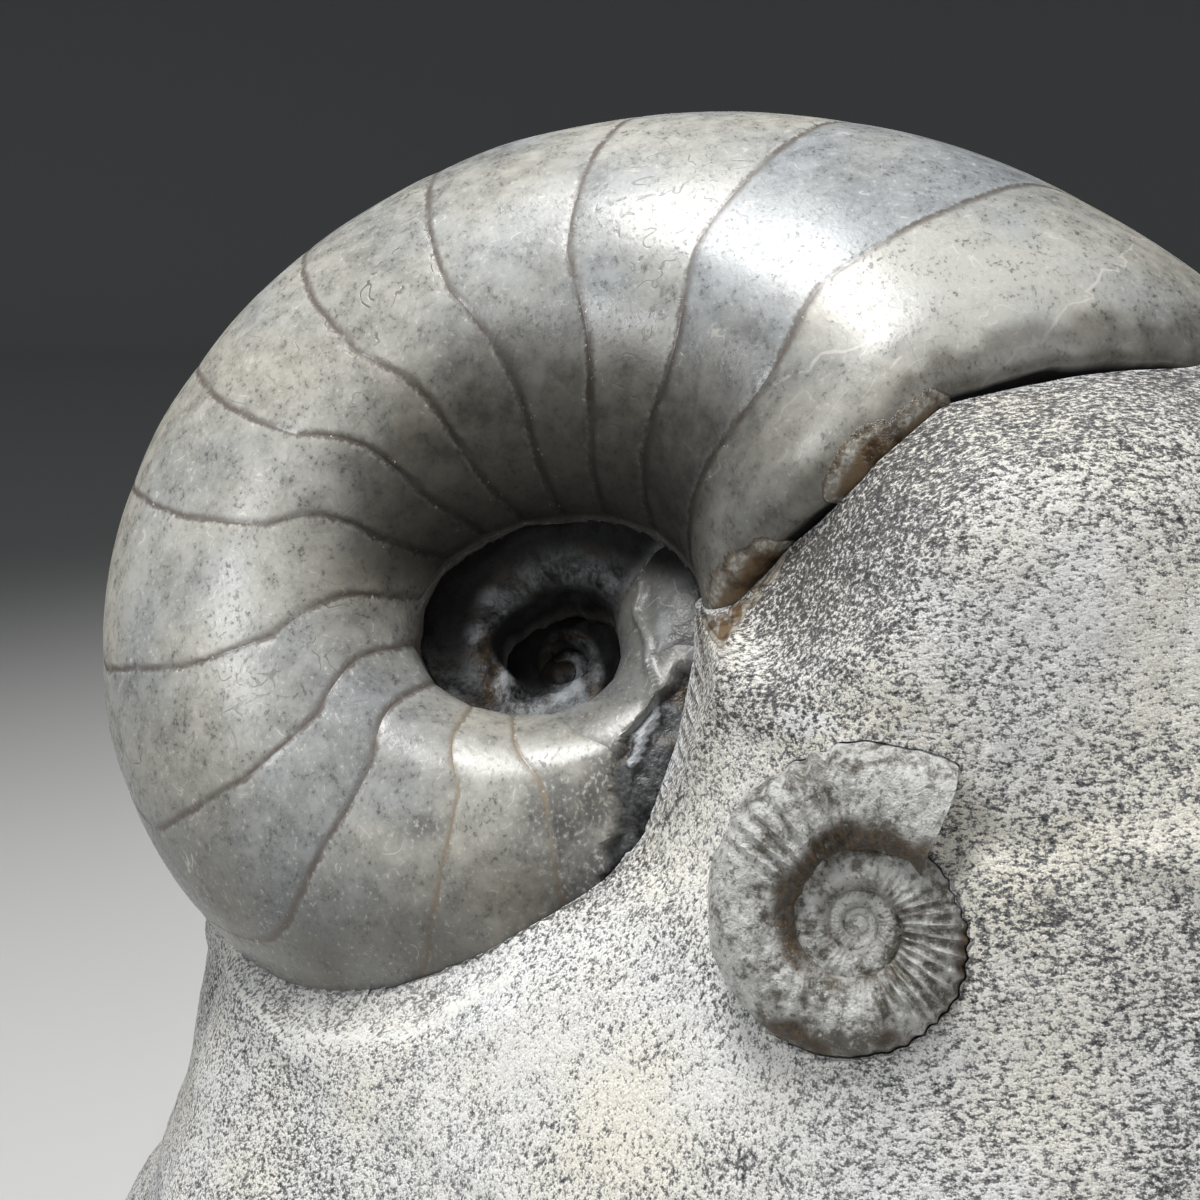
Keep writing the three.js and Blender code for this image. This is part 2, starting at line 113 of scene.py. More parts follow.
AMMONITE = Coil(
    centre=(19.4, -42.5, 52.4), lean=68, turn_away=-11.5, roll=0,
    radius=11.7, growth=0.117, flare=0, flare_from=0, first_turn=-1100,
    crest=0.66, half_width=0.3, outer_power=2.2, foot=0.37, foot_height=0.15, wall_power=2,
)
AMMONITE_MOUTH = (119, 24)  # turn at the outer edge, and how far the seam runs on
RIB_HEIGHT = 0.05

FOSSIL_GAP = 0.16  # clear space between the stone and each fossil
CORE_REACH = 0.85  # of the coil's first outer radius
CORE_GRID = (33, 48)  # rows and columns
CORE_OPEN_AT = 85  # degrees up and down, where the fans close it
CORE_GRAIN = (0.12, 0.9, 14)  # height, size and seed

# Where the stone meets the nautilus, lower left to upper right: x, y, z, groove depth, groove width.
SEAM = np.array([
    [-52, -4, 39.5, 3, 4], [-36, -12.4, 38.4, 3, 4], [-28.7, -17.8, 36.1, 3, 4],
    [-17.5, -25.1, 39.2, 3, 4], [-8.8, -27.1, 44.1, 3, 4], [0, -26.5, 49.7, 3, 4],
    [3.6, -27, 52.8, 2, 3.5], [7, -29, 60, 1, 3], [9, -30, 66.4, 1, 3], [9.3, -28.5, 70.2, 2, 3],
    [11.8, -23, 71.9, 5, 5], [14.7, -23, 75.4, 6, 6], [17.6, -24, 80.4, 6, 7], [20.6, -25, 86.4, 5, 7],
    [26.8, -23.5, 92.5, 5, 7], [38.3, -21.5, 95.4, 5, 7], [49.2, -17.5, 95.9, 5, 7],
    [58, -14, 96.5, 4, 6], [90, -8, 108, 0, 4],
])
GROOVE_POWER = 1.15
WALL_SLOPE = [(0, 24), (11, 24), (14, 5)]  # over the seam's listed points

# Other points that the stone's front face passes through.
FRONT_POSTS = np.array([
    # the foot of the block
    [-50, -24, 0], [-30, -42, 2], [0, -55, 4], [30, -60, 6], [60, -56, 6], [84, -42, 0],
    # the slope under the nautilus
    [-39, -18, 28], [-26, -26, 30], [-25, -31, 23], [-12, -33, 35], [-12, -38, 28],
    [0, -34.5, 44], [0, -40, 37], [0, -45, 30], [6.5, -33, 51],
    # the swell that carries the ammonite
    [11, -41, 47], [14, -46, 40], [20, -43, 54], [29, -43, 60], [28, -48, 43], [28, -52, 35],
    [40, -46, 56], [42, -50, 44], [60, -48, 40],
    # the rise beside the umbilicus and under the broken edge
    [11.5, -32, 66], [19, -37, 72], [20, -34, 80], [29, -40, 73], [30, -37, 83], [43, -41, 73],
    [43, -35, 86], [58, -40, 70], [60, -30, 84], [68, -24, 90], [76, -28, 74], [76, -34, 56],
    [86, -26, 30],
])
POST_SLACK = 6
FAR_OFF = 20.0  # millimetres, where a line has no effect

# Heights and edges of the block, each a list of (place, value).
FRONT_TOP_OVER_X = [
    (-50, 46), (-30, 64), (-10, 79), (10, 86), (30, 92), (52, 95), (60, 92), (70, 86), (80, 74), (92, 54),
]
BACK_TOP_OVER_X = [
    (-50, 42), (-30, 58), (-5, 72), (20, 72), (45, 64), (68, 60), (80, 54), (92, 44),
]
LEFT_OVER_Z = [(0, -47), (10, -43), (20, -40), (30, -37), (40, -34.5), (60, -30), (100, -24)]
RIGHT_OVER_Z = [(0, 84), (12, 88), (35, 89.5), (60, 87), (100, 76)]
BACK_OVER_Z = [(0, 40), (12, 45), (40, 46), (60, 43), (80, 36), (100, 27)]
BLOCK_REACH = (-45, 88)
EDGE_ROUND = 11
SIDE_BULGE = 4
SIDE_RELIEF = 0.6
DOME_RISE = 5
FRONT_RELIEF = 0.3
WAVES = [
    (1.1, 0.09, 0.05, 0.12, 0.4), (0.8, -0.13, 0.1, 0.07, 2.1), (0.6, 0.05, -0.19, 0.16, 4.0),
    (0.5, 0.22, 0.12, -0.11, 1.2), (0.35, -0.17, 0.24, 0.25, 5.2),
]
LEDGES = [(1.0, 0.18, 0.05, 0.98, 24), (-1.4, -0.22, 0.1, 0.97, 45), (1.3, 0.25, 0, 0.97, 66)]
LEDGE_SHARPNESS = 1.1

# Finer relief of the stone, in layers of height, size and seed.
LUMPS = [(1.3, 9, 21), (0.7, 4.5, 22), (0.35, 2.2, 23)]
LUMP_SAND = (0.12, 1.1, 24)
TOOL_DENTS = [(0.16, 6, 25), (0.09, 2.6, 26), (0.09, 1.1, 27)]

# ---------------------------------------------------------------- small mathematics


def eased(share):
    """A share from 0 to 1 with a soft start and end: 3 s^2 - 2 s^3."""
    share = np.clip(share, 0, 1)
    return share * share * (3 - 2 * share)


def rise_between(low, high, value):
    """0 below low, 1 above high, eased between."""
    return eased((value - low) / (high - low))


def along(listed, place):
    """Values read from a list of (place, value), eased between its entries."""
    places, values = np.array(listed, float).T
    i = np.clip(np.searchsorted(places, place, side="right") - 1, 0, len(places) - 2)
    share = eased((place - places[i]) / (places[i + 1] - places[i]))
    return values[i] + (values[i + 1] - values[i]) * share


def hashed(cells, seed):
    """A repeatable random number from 0 to 1 for each row of cells: the fraction of a large sine."""
    wave = np.sin(cells @ np.array([127.1, 311.7, 74.7]) + 17.3 * seed) * 43758.5453
    return wave - np.floor(wave)


def grain(points, size, seed):
    """Smooth random relief from -1 to 1: hashed values on a cubic lattice, blended with eased weights."""
    spot = points / size
    cell = np.floor(spot)
    share = eased(spot - cell)
    total = 0
    for corner in itertools.product((0, 1), repeat=3):
        weight = np.prod(np.where(corner, share, 1 - share), axis=-1)
        total = total + weight * hashed(cell + np.array(corner), seed)
    return 2 * total - 1


def layers(points, *listed):
    """Several grains added up, each given by its height, size and seed."""
    return sum(height * grain(points, size, seed) for height, size, seed in listed)


def spot_mark(points, centre, reach):
    """1 at a place, falling softly to 0 at a distance of reach; reach may differ along x, y and z."""
    return 1 - eased(np.linalg.norm((points - np.array(centre)) / np.array(reach), axis=-1))


def spots(points, listed):
    """Several spot marks added up, each given by its centre, reach and strength."""
    return sum(strength * spot_mark(points, centre, reach) for centre, reach, strength in listed)


def most(*values):
    """The greatest of several values, point by point."""
    return functools.reduce(np.maximum, values)


# ---------------------------------------------------------------- coils


def outer_radius(coil, turn):
    """radius * e^(growth t + flare (t - flare_from)^2), with t in radians."""
    late = np.maximum(0, np.radians(turn - coil.flare_from))
    return coil.radius * np.exp(coil.growth * np.radians(turn) + coil.flare * late**2)


def foot_share(coil, turn):
    """The umbilical seam's share of the outer radius, which closes in and runs oval on the last whorl."""
    t = np.radians(turn)
    late = 1 / (1 + np.exp(np.clip((coil.late_from - t) / coil.late_over, -60, 60)))
    oval, oblique = coil.foot_oval
    closing = late * (coil.foot_closing * t + oval * np.cos(2 * t) + oblique * np.sin(2 * t))
    return coil.foot * along(coil.foot_change, turn) * np.exp(closing)


def whorl_outline(coil, turn, across):
    """Distance from the axis and height, as shares of the outer radius.

    One superellipse runs from the outer edge to the crest, another down the umbilical wall.
    """
    side = np.sign(across)
    place = 2 * np.abs(across)
    outer = np.clip(place, 0, 1) * np.pi / 2
    inner = np.clip(place - 1, 0, 1) * np.pi / 2
    power = 2 / coil.outer_power
    wall = 2 / coil.wall_power
    cos_outer = np.clip(np.cos(outer), 0, 1)
    cos_inner = np.clip(np.cos(inner), 0, 1)
    on_wall = place > 1
    foot = foot_share(coil, turn)
    distance = np.where(
        on_wall,
        coil.crest - (coil.crest - foot) * np.sin(inner) ** wall,
        coil.crest + (1 - coil.crest) * cos_outer**power,
    )
    height = np.where(
        on_wall,
        coil.foot_height + (coil.half_width - coil.foot_height) * cos_inner**wall,
        coil.half_width * np.sin(outer) ** power,
    )
    return distance, side * height


def coil_points(coil, turn, across, push=0.0):
    """Points of the coil where the drawing has them, pushed out of the surface by so many millimetres.

    (-d cos t, d sin t, h) in the coil's own frame, then leaned, turned and moved to its centre.
    """
    turn, across = np.broadcast_arrays(turn, across)
    radius = outer_radius(coil, turn)
    distance, height = whorl_outline(coil, turn, across)
    step = 0.006
    ahead = whorl_outline(coil, turn, np.clip(across + step, -1, 1))
    behind = whorl_outline(coil, turn, np.clip(across - step, -1, 1))
    run, climb = ahead[0] - behind[0], ahead[1] - behind[1]
    length = np.hypot(run, climb)
    reach = distance * radius + push * climb / length
    rise = height * radius - push * run / length - along(coil.sinking, turn)
    t = np.radians(turn)
    own = np.stack([-reach * np.cos(t), reach * np.sin(t), rise], -1)
    return own @ np.array(coil_tilt(coil)).T + np.array(coil.centre)


def core(coil, grow=0.0, **marks):
    """A flat ball that fills the middle of a coil: (r cos u cos v, r cos u sin v, h sin u)."""
    start = outer_radius(coil, coil.first_turn)
    flat, height = CORE_REACH * start + grow, coil.half_width * start + grow
    rows, columns = CORE_GRID
    rise = np.radians(np.linspace(-CORE_OPEN_AT, CORE_OPEN_AT, rows))[:, None]
    turn = np.radians(np.linspace(0, TURN, columns, endpoint=False))
    x, y = flat * np.cos(rise) * np.cos(turn), flat * np.cos(rise) * np.sin(turn)
    ball = np.stack(np.broadcast_arrays(x, y, height * np.sin(rise)), -1)
    ball[..., 2] -= along(coil.sinking, coil.first_turn)
    ball += layers(ball, CORE_GRAIN)[..., None] * ball / start
    return solid_from_rings("core", ball @ np.array(coil_tilt(coil)).T + np.array(coil.centre), marks)


def coil_tilt(coil):
    """Turned about its own axis by roll, then turned away, then leaned up."""
    roll = Matrix.Rotation(np.radians(coil.roll), 3, "Z")
    away = Matrix.Rotation(np.radians(coil.turn_away), 3, "Y")
    lean = Matrix.Rotation(np.radians(coil.lean), 3, "X")
    return lean @ away @ roll


# ---------------------------------------------------------------- meshes from rings


def placed(name, data):
    """A new object of the scene, at the origin."""
    made = bpy.data.objects.new(name, data)
    bpy.context.scene.collection.objects.link(made)
    return made


def solid_from_rings(name, rings, marks=None):
    """A closed mesh from rings of equally many points, shape (rings, count, 3), with a fan over each end.

    marks are named values with one number for each point, kept as point attributes.
    """
    rows, count, _ = rings.shape
    index = np.arange(rows * count).reshape(rows, count)
    beside = np.roll(index, -1, axis=1)
    quads = np.stack([index[:-1], beside[:-1], beside[1:], index[1:]], -1).reshape(-1, 4)
    first = np.stack([beside[0], index[0], np.full(count, rows * count)], -1)
    last = np.stack([index[-1], beside[-1], np.full(count, rows * count + 1)], -1)
    points = np.concatenate([rings.reshape(-1, 3), [rings[0].mean(0), rings[-1].mean(0)]])
    triangles = np.concatenate([quads[:, [0, 1, 2]], quads[:, [0, 2, 3]], first, last])
    a, b, c = (points[triangles[:, k]] for k in range(3))
    if np.einsum("ij,ij->", a, np.cross(b, c)) < 0:
        triangles = triangles[:, ::-1]
    mesh = bpy.data.meshes.new(name)
    mesh.vertices.add(len(points))
    mesh.vertices.foreach_set("co", in_frame(points).astype(np.float32).ravel())
    mesh.loops.add(triangles.size)
    mesh.loops.foreach_set("vertex_index", triangles.astype(np.int32).ravel())
    mesh.polygons.add(len(triangles))
    mesh.polygons.foreach_set("loop_start", np.arange(0, triangles.size, 3, dtype=np.int32))
    mesh.update(calc_edges=True)
    for mark, values in (marks or {}).items():
        values = np.broadcast_to(values, (rows, count))
        ends = [values[0].mean(), values[-1].mean()]
        attribute = mesh.attributes.new(mark, "FLOAT", "POINT")
        attribute.data.foreach_set("value", np.append(values.ravel(), ends).astype(np.float32))
    return placed(name, mesh)


def combined(name, first, others, operation):
    """The first solid joined with the others, or cut by them. The others are used up."""
    for other in others:
        step = first.modifiers.new("step", "BOOLEAN")
        step.operation = operation
        step.solver = "MANIFOLD"
        step.object = other
    evaluated = first.evaluated_get(bpy.context.evaluated_depsgraph_get())
    mesh = bpy.data.meshes.new_from_object(evaluated)
    for used in [first, *others]:
        bpy.data.objects.remove(used)
    mesh.name = name
    return placed(name, mesh)


def largest_body(solid):
    """Loose crumbs that a cut has left are dropped, and only the biggest connected body is kept."""
    bm = bmesh.new()
    bm.from_mesh(solid.data)
    unseen = set(bm.verts)
    bodies = []
    while unseen:
        edge = [unseen.pop()]
        body = set(edge)
        while edge:
            near = {e.other_vert(v) for v in edge for e in v.link_edges} & unseen
            unseen -= near
            body |= near
            edge = list(near)
        bodies.append(body)
    keep = max(bodies, key=len)
    bmesh.ops.delete(bm, geom=[v for v in bm.verts if v not in keep], context="VERTS")
    bm.to_mesh(solid.data)
    bm.free()
    return solid


def smoothed(solid, sharp_over):
    """Shaded smooth, apart from edges where the faces turn by more than sharp_over degrees."""
    solid.data.shade_smooth()
    solid.data.set_sharp_from_angle(angle=np.radians(sharp_over))
    return solid


# ---------------------------------------------------------------- place in the frame


def drawing_origin():
    """Where the drawing's origin is in the frame: z from the block's base, x and y from the nautilus."""
    phase, across = np.meshgrid(np.linspace(OUTER_FROM, LAST_SUTURE, 171), np.linspace(-1, 1, 81))
    drawn = coil_points(NAUTILUS, turn_at(phase, across), across).reshape(-1, 3)
    low, high = (np.array(corner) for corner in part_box("nautilus"))
    x, y, _ = (low + high) / 2 - MM * (drawn.min(0) + drawn.max(0)) / 2
    return np.array([x, y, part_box("matrix")[0].z])


def in_frame(points):
    """The drawing's millimetres as metres of the frame."""
    return MM * points + ORIGIN


# ---------------------------------------------------------------- nautilus

# Rows in each chamber, closer together beside the sutures.
CHAMBER_ROWS = np.array([
    0, 0.010, 0.020, 0.032, 0.048, 0.07, 0.10, 0.15, 0.22, 0.31, 0.41, 0.5,
    0.59, 0.69, 0.78, 0.85, 0.90, 0.93, 0.952, 0.968, 0.98, 0.99,
])
INNER_CHAMBER_ROWS = np.arange(14) / 14
INNERMOST_CHAMBER_ROWS = np.arange(7) / 7
OUTER_COLUMNS = (130, 44)  # on the near half of the whorl and on the far half
INNER_COLUMNS = (86, 26)
BED_COLUMNS = (60, 30)
SPLITS = [-45, -32, -20, -8, 1]  # sutures at which the coil is made in lengths

# Where zones begin along the coil, in phase.
OUTER_FROM = -8
RIM_FROM = -4
RIM_UNTIL = -9
BREAK_UNTIL = -2.9
INNERMOST_UNTIL = -20

# Ranges over which a mark of the shell fades in, each (none, full); the hole, the shaded wall, the overhang
# and the rim's top are painted shade. Along the coil, in phase:
INNER_WHORL = (-7.6, -8.6)
INNER_DARKNESS = (-7.6, -8.4)
DARK_RIM = (-4.3, -5.6)
WORN_RIM = (-5.6, -6.2)
HOLE = (-19, -20)
OLDER_SHELL = (-2.3, -3.3)
LOW_BROWN = (2, 0)
SHADE_START, SHADE_END = (0.5, 2), (9.3, 7.5)
WARM_START, WARM_END = (0, 1), (4, 3)
# Over the whorl, in across:
BROWN_WALL = (0.54, 0.74)
SHADED_WALL = (0.62, 0.94)
HOLE_WALL = (0.78, 0.88)
WARM_OUTER = (0.32, 0.22)
OLDER_OUTER = (0.55, 0.46)
WORN_OUTER = (0.68, 0.60)
# Over the height, in millimetres; the first darkens the shell towards the bottom, the others place painted
# shade:
DARKER_DOWN = (56, 38)
RIM_DARKER_UP = (59, 66)
RIM_PAINTED_SHADE = (70.5, 74)
OVERHANG = (57, 66)
HOLE_UP = (57, 60.5)
# From the seam, in millimetres:
BROWN_AT_SEAM = (-10, -2)

# The umbilicus in the front view: the middle (x, z) of its painted shadow and of its painted dark hole, and
# where each begins.
SHADOW_MIDDLE, SHADOW_REACH = (-2, 63), (8.556, 12.42)
HOLE_MIDDLE, HOLE_REACH = (-2.9, 61.8), (2.6, 3.6)

# Painted highlights in the umbilicus, a dark smudge and a white patch, each a centre, reach and strength.
PAINTED_HIGHLIGHTS = [
    ((5.6, -11, 68.5), (1.6, 30, 2.4), 0.9), ((2.5, -16, 62.5), (5, 30, 2.6), 0.9),
    ((-11.3, -8, 69.3), (2.4, 30, 2), 0.9), ((-12.3, -8, 65.5), (2, 30, 2.6), 0.9),
    ((-9, -8, 61.3), (3, 30, 1.6), 0.9), ((-3, -8, 59), (7, 30, 1.8), 0.9), ((-3, 0, 60.8), (3, 30, 2), 0.9),
]
SHELL_SMUDGES = [((-16.5, -24, 53.5), (6, 20, 1.8), 1)]
WHITE_PATCHES = [((24, -20, 100), (26, 60, 7), 0.5)]

# Warmth, lightness and crackle of each chamber, from the oldest that has its own look to the mouth.
CHAMBERS_FROM = -6
CHAMBER_LOOKS = np.array([
    (0.30, 0.30, 0), (0.35, 0.35, 0), (0.50, 0.50, 0), (0.55, 0.52, 0), (0.60, 0.50, 0), (0.42, 0.44, 0.1),
    (0.50, 0.46, 0.3), (0.66, 0.56, 0.1), (0.58, 0.52, 0.1), (0.62, 0.52, 0.2), (0.58, 0.52, 0.7),
    (0.50, 0.50, 0), (0.52, 0.62, 0.3), (0.18, 0.54, 0.1), (0.62, 0.54, 0.1),
])

GROOVE_DEPTH = 0.02
GROOVE_HALF_WIDTH = 0.35

# On the older shell the surface is broken away outside this line, a list of (phase, across).
BREAK_LINE = [
    (-6.2, -0.2), (-5.9, 0.42), (-5.5, 0.49), (-5, 0.52), (-4.5, 0.53), (-4, 0.48), (-3.6, 0.40),
    (-3.2, 0.28), (-2.9, -0.2),
]
BREAK_DEPTH = 1.0

# Pale veins on the shell in the front view, each a list of (x, z).
VEINS = [
    [(19, 85.5), (21.2, 87.6), (25, 89.6), (30.3, 93.8), (38, 97.4), (48.5, 103), (60, 108)],
    [(8.7, 80.9), (11, 86.5), (14.5, 91.3), (19, 93), (23.3, 95.6)],
]

# A raised ridge on the older rim, in the front view, with a painted highlight along it.
RIM_RIDGE = [(2.6, 58.6), (4.3, 61.5), (4.7, 64.5), (4.3, 67), (3.5, 69.3), (4, 71.5)]
RIM_RIDGE_HEIGHT = 0.45
RIM_RIDGE_HALF_WIDTH = 0.4

# Relief of the shell, in layers of height, size and seed.
POLISH = [(0.16, 12, 1), (0.06, 5, 2)]
CHAMBER_SWELL = 0.14
ROUGH_SHELL = [(0.6, 3.6, 3), (0.4, 1.6, 4), (0.18, 0.8, 5)]
RAGGED_BREAK = [(0.035, 3.5, 6), (0.02, 1.4, 7)]

LIP_RUN = 5.5  # the shell rolls inwards over this length before its broken edge
LIP_FALL = 3.0
LIP_RUNS_ON = 1.6  # degrees
LIP_RADIUS = 30  # millimetres from the axis, where the length of the roll is measured
LIP_JAGS = [(0.5, 3, 8), (0.3, 1.2, 9)]
END_SHARES = (0.04, 0.1, 0.18, 0.3, 0.45, 0.62, 0.8)  # rings over the broken end, towards its middle
END_GRAIN = (0.5, 3, 10)
END_LEAN = (0.6, 0.2, -0.7)  # the way that the broken end's grain stands out


def suture_sweep(across):
    """Degrees that a suture runs ahead: a Catmull-Rom curve through the listed sweeps, mirrored beyond 0."""
    sweeps = np.array(SUTURE_SWEEP[:0:-1] + SUTURE_SWEEP)
    place = (across + 1) / 2 * (len(sweeps) - 1)
    i = np.clip(np.floor(place).astype(int), 0, len(sweeps) - 2)
    t = place - i
    before, here, after, beyond = (sweeps[np.clip(i + k, 0, len(sweeps) - 1)] for k in (-1, 0, 1, 2))
    leave, arrive = (after - before) / 2, (beyond - here) / 2
    cubic = 2 * here - 2 * after + leave + arrive
    square = -3 * here + 3 * after - 2 * leave - arrive
    return cubic * t**3 + square * t**2 + leave * t + here


def stray(phase, across):
    """Degrees that a place runs ahead of the even spacing: the listed strays, eased from one to the next."""
    row = np.clip(np.asarray(phase) - STRAYS_FROM, 0, len(STRAYS) - 1.001)
    column = np.clip(np.asarray(across) / STRAYS_STEP - 1, 0, STRAYS.shape[1] - 1.001)
    i, j = row.astype(int), column.astype(int)
    down, along_row = eased(row - i), eased(column - j)
    upper = STRAYS[i, j] + (STRAYS[i, j + 1] - STRAYS[i, j]) * along_row
    lower = STRAYS[i + 1, j] + (STRAYS[i + 1, j + 1] - STRAYS[i + 1, j]) * along_row
    return upper + (lower - upper) * down


def turn_at(phase, across):
    """The turn of a place given by its phase: sutures are a pitch apart, swept, and stray a little."""
    return SUTURE_START + SUTURE_PITCH * phase + suture_sweep(across) + stray(phase, across)


def pace(phase, across):
    """Millimetres from one suture to the next, square to their lines."""
    turn = turn_at(phase, across)
    radius = outer_radius(NAUTILUS, turn)
    distance, _ = whorl_outline(NAUTILUS, turn, across)
    step = 0.004
    low, high = np.clip(across - step, -1, 1), np.clip(across + step, -1, 1)
    ahead, behind = whorl_outline(NAUTILUS, turn, high), whorl_outline(NAUTILUS, turn, low)
    over = radius * np.hypot(ahead[0] - behind[0], ahead[1] - behind[1])
    lean = distance * radius * np.radians(suture_sweep(high) - suture_sweep(low)) / over
    return np.radians(SUTURE_PITCH) * distance * radius / np.hypot(1, lean)


def to_suture(phase, across):
    """Distance in millimetres to the nearest suture."""
    return np.abs(phase - np.round(phase)) * pace(phase, across)


def from_rim_ridge(points):
    """Millimetres from the rim's ridge in the front view, which wanders a little."""
    off, _ = beside_line(points[..., 0] + layers(points, (0.3, 1.6, 14)), points[..., 2], RIM_RIDGE)
    return np.abs(off)


def shell_relief(points, phase, across):
    """Millimetres out of the true spiral: polishing waves, a low swell in each chamber, grooved sutures.

    The inner whorls and the broken zone are rough, and the broken zone lies deeper.
    """
    share = phase - np.floor(phase)
    swell = CHAMBER_SWELL * (np.sin(np.pi * share) ** 0.6 - 0.5)
    groove = -GROOVE_DEPTH * np.exp(-((to_suture(phase, across) / GROOVE_HALF_WIDTH) ** 2))
    rough = layers(points, *ROUGH_SHELL) + 0.02 * np.sin(25 * phase + layers(points, (5, 4, 15)))
    bare = broken_away(points, phase, across)
    inner = rise_between(*INNER_WHORL, phase)
    whole = (1 - bare) * (1 - inner)
    ridge = RIM_RIDGE_HEIGHT * np.exp(-((from_rim_ridge(points) / RIM_RIDGE_HALF_WIDTH) ** 2))
    polished = layers(points, *POLISH) + swell + groove
    return whole * polished + ridge * on_rim(phase) + inner * rough + bare * (0.6 * rough - BREAK_DEPTH)


def on_rim(phase):
    """1 on the stretch of the older whorl whose rim stands round the umbilicus."""
    return (phase < RIM_FROM) & (phase > RIM_UNTIL)


def broken_away(points, phase, across):
    """1 where the older shell has lost its surface, with a ragged edge."""
    ragged = layers(points, *RAGGED_BREAK)
    outside = rise_between(0.012, -0.012, across - along(BREAK_LINE, phase) + ragged)
    return outside * (phase < BREAK_UNTIL) * (phase > OUTER_FROM) * (across > -0.3)


def vein_distance(points):
    """Signed millimetres from the nearest vein in the front view; far off on the far side."""
    nearest = np.full(points.shape[:-1], FAR_OFF)
    for vein in VEINS:
        off, _ = beside_line(points[..., 0], points[..., 2], vein)
        nearest = np.where(np.abs(off) < np.abs(nearest), off, nearest)
    return np.where(points[..., 1] < 5, nearest, FAR_OFF)


def whorl_rings(phases, across):
    """Rings of the coil along lines of equal phase, with their place and the true spiral's points."""
    phase, across = np.meshgrid(phases, across, indexing="ij")
    turn = turn_at(phase, across)
    bare = coil_points(NAUTILUS, turn, across)
    return coil_points(NAUTILUS, turn, across, shell_relief(bare, phase, across)), phase, across, bare


def shell_columns(near, far):
    """Places across the whorl, from the far umbilical seam over the outer edge to the near one."""
    return np.concatenate([np.linspace(-1, 0, far, endpoint=False), np.linspace(0, 1, near)])


def chamber_lines(first, last):
    """Phases of the rows from one suture to another, sparser on the inner whorls."""
    offsets = CHAMBER_ROWS if first >= OUTER_FROM else INNER_CHAMBER_ROWS
    if first < INNERMOST_UNTIL:
        offsets = INNERMOST_CHAMBER_ROWS
    return np.append((np.arange(first, last)[:, None] + offsets).ravel(), last)


def shell_tones(points, phase, across):
    """Warmth, lightness and crackle: those of the chamber, with slow clouds; darker towards the bottom, and
    with painted shade darkening the older rim towards the top.
    """
    chamber = np.clip(np.floor(phase - 1e-6).astype(int), CHAMBERS_FROM, LAST_SUTURE - 1) - CHAMBERS_FROM
    warm, light, crackle = np.moveaxis(CHAMBER_LOOKS[chamber], -1, 0)
    outer_left = rise_between(*WARM_OUTER, across) * rise_between(*WARM_START, phase)
    outer_left = outer_left * rise_between(*WARM_END, phase)
    warm = warm + layers(points, (0.30, 9, 31), (0.14, 4, 32)) + 0.25 * outer_left
    light = light + layers(points, (0.16, 13, 33), (0.10, 4.5, 34)) + spots(points, WHITE_PATCHES)
    z = points[..., 2]
    rim = rise_between(*DARK_RIM, phase) * (phase > OUTER_FROM)
    light = light - 0.55 * rise_between(*DARKER_DOWN, z) * (phase > RIM_FROM)
    # painted shade: the older rim darkens towards the top, under the whorl above it
    light = light - 0.9 * rim * rise_between(*RIM_DARKER_UP, z)
    return warm, light, crackle * rise_between(-0.5, 0.4, grain(points, 6, 38))


def shell_stains(points, phase, across):
    """Brown patina on the umbilical wall, made stronger by painted shade on the chambers whose wall lies in
    the shade; brown low down by the seam, and dark smudges on the older shell.
    """
    wall = rise_between(*BROWN_WALL, across + layers(points, (0.03, 3, 35)))
    seat, *_ = nearest_on_seam(points[..., 0], points[..., 2])
    low = rise_between(*BROWN_AT_SEAM, seat) * rise_between(*LOW_BROWN, phase) * (phase > OUTER_FROM)
    low = low * rise_between(-0.7, 0.5, grain(points, 5, 36))
    older = rise_between(*OLDER_SHELL, phase) * rise_between(*OLDER_OUTER, across) * (phase > OUTER_FROM)
    blotch = rise_between(-0.4, 0.3, grain(points, 2.4, 37))
    smudge = most(spots(points, SHELL_SMUDGES), 0.95 * older) * blotch
    return most(wall * (0.35 + 0.65 * in_shade(phase)), 0.75 * low), smudge


def in_shade(phase):
    """1 on the chambers whose umbilical wall lies in the shade; painted shade makes the wall browner there
    and nearly black towards the seam.
    """
    return rise_between(*SHADE_START, phase) * rise_between(*SHADE_END, phase)


def painted_shell_shade(points, phase, across):
    """Painted shade: 1 in the places that no light reaches, which are painted nearly black: under the
    overhang, in the umbilicus and in its hole, on the shaded umbilical wall and high on the older rim.
    """
    x, z = points[..., 0], points[..., 2]
    shadow = rise_between(*SHADOW_REACH, np.hypot(x - SHADOW_MIDDLE[0], z - SHADOW_MIDDLE[1]))
    shadow = shadow * rise_between(*OVERHANG, z)
    hole = most(rise_between(*HOLE, phase), rise_between(*HOLE_WALL, across)) * rise_between(*HOLE_UP, z)
    hole = hole * rise_between(*HOLE_REACH, np.hypot(x - HOLE_MIDDLE[0], z - HOLE_MIDDLE[1]))
    wall = 0.8 * rise_between(*SHADED_WALL, across) * in_shade(phase)
    rim = rise_between(*DARK_RIM, phase) * (phase > OUTER_FROM) * rise_between(*RIM_PAINTED_SHADE, z)
    return most(most(shadow, hole) * rise_between(*INNER_DARKNESS, phase), wall, rim)


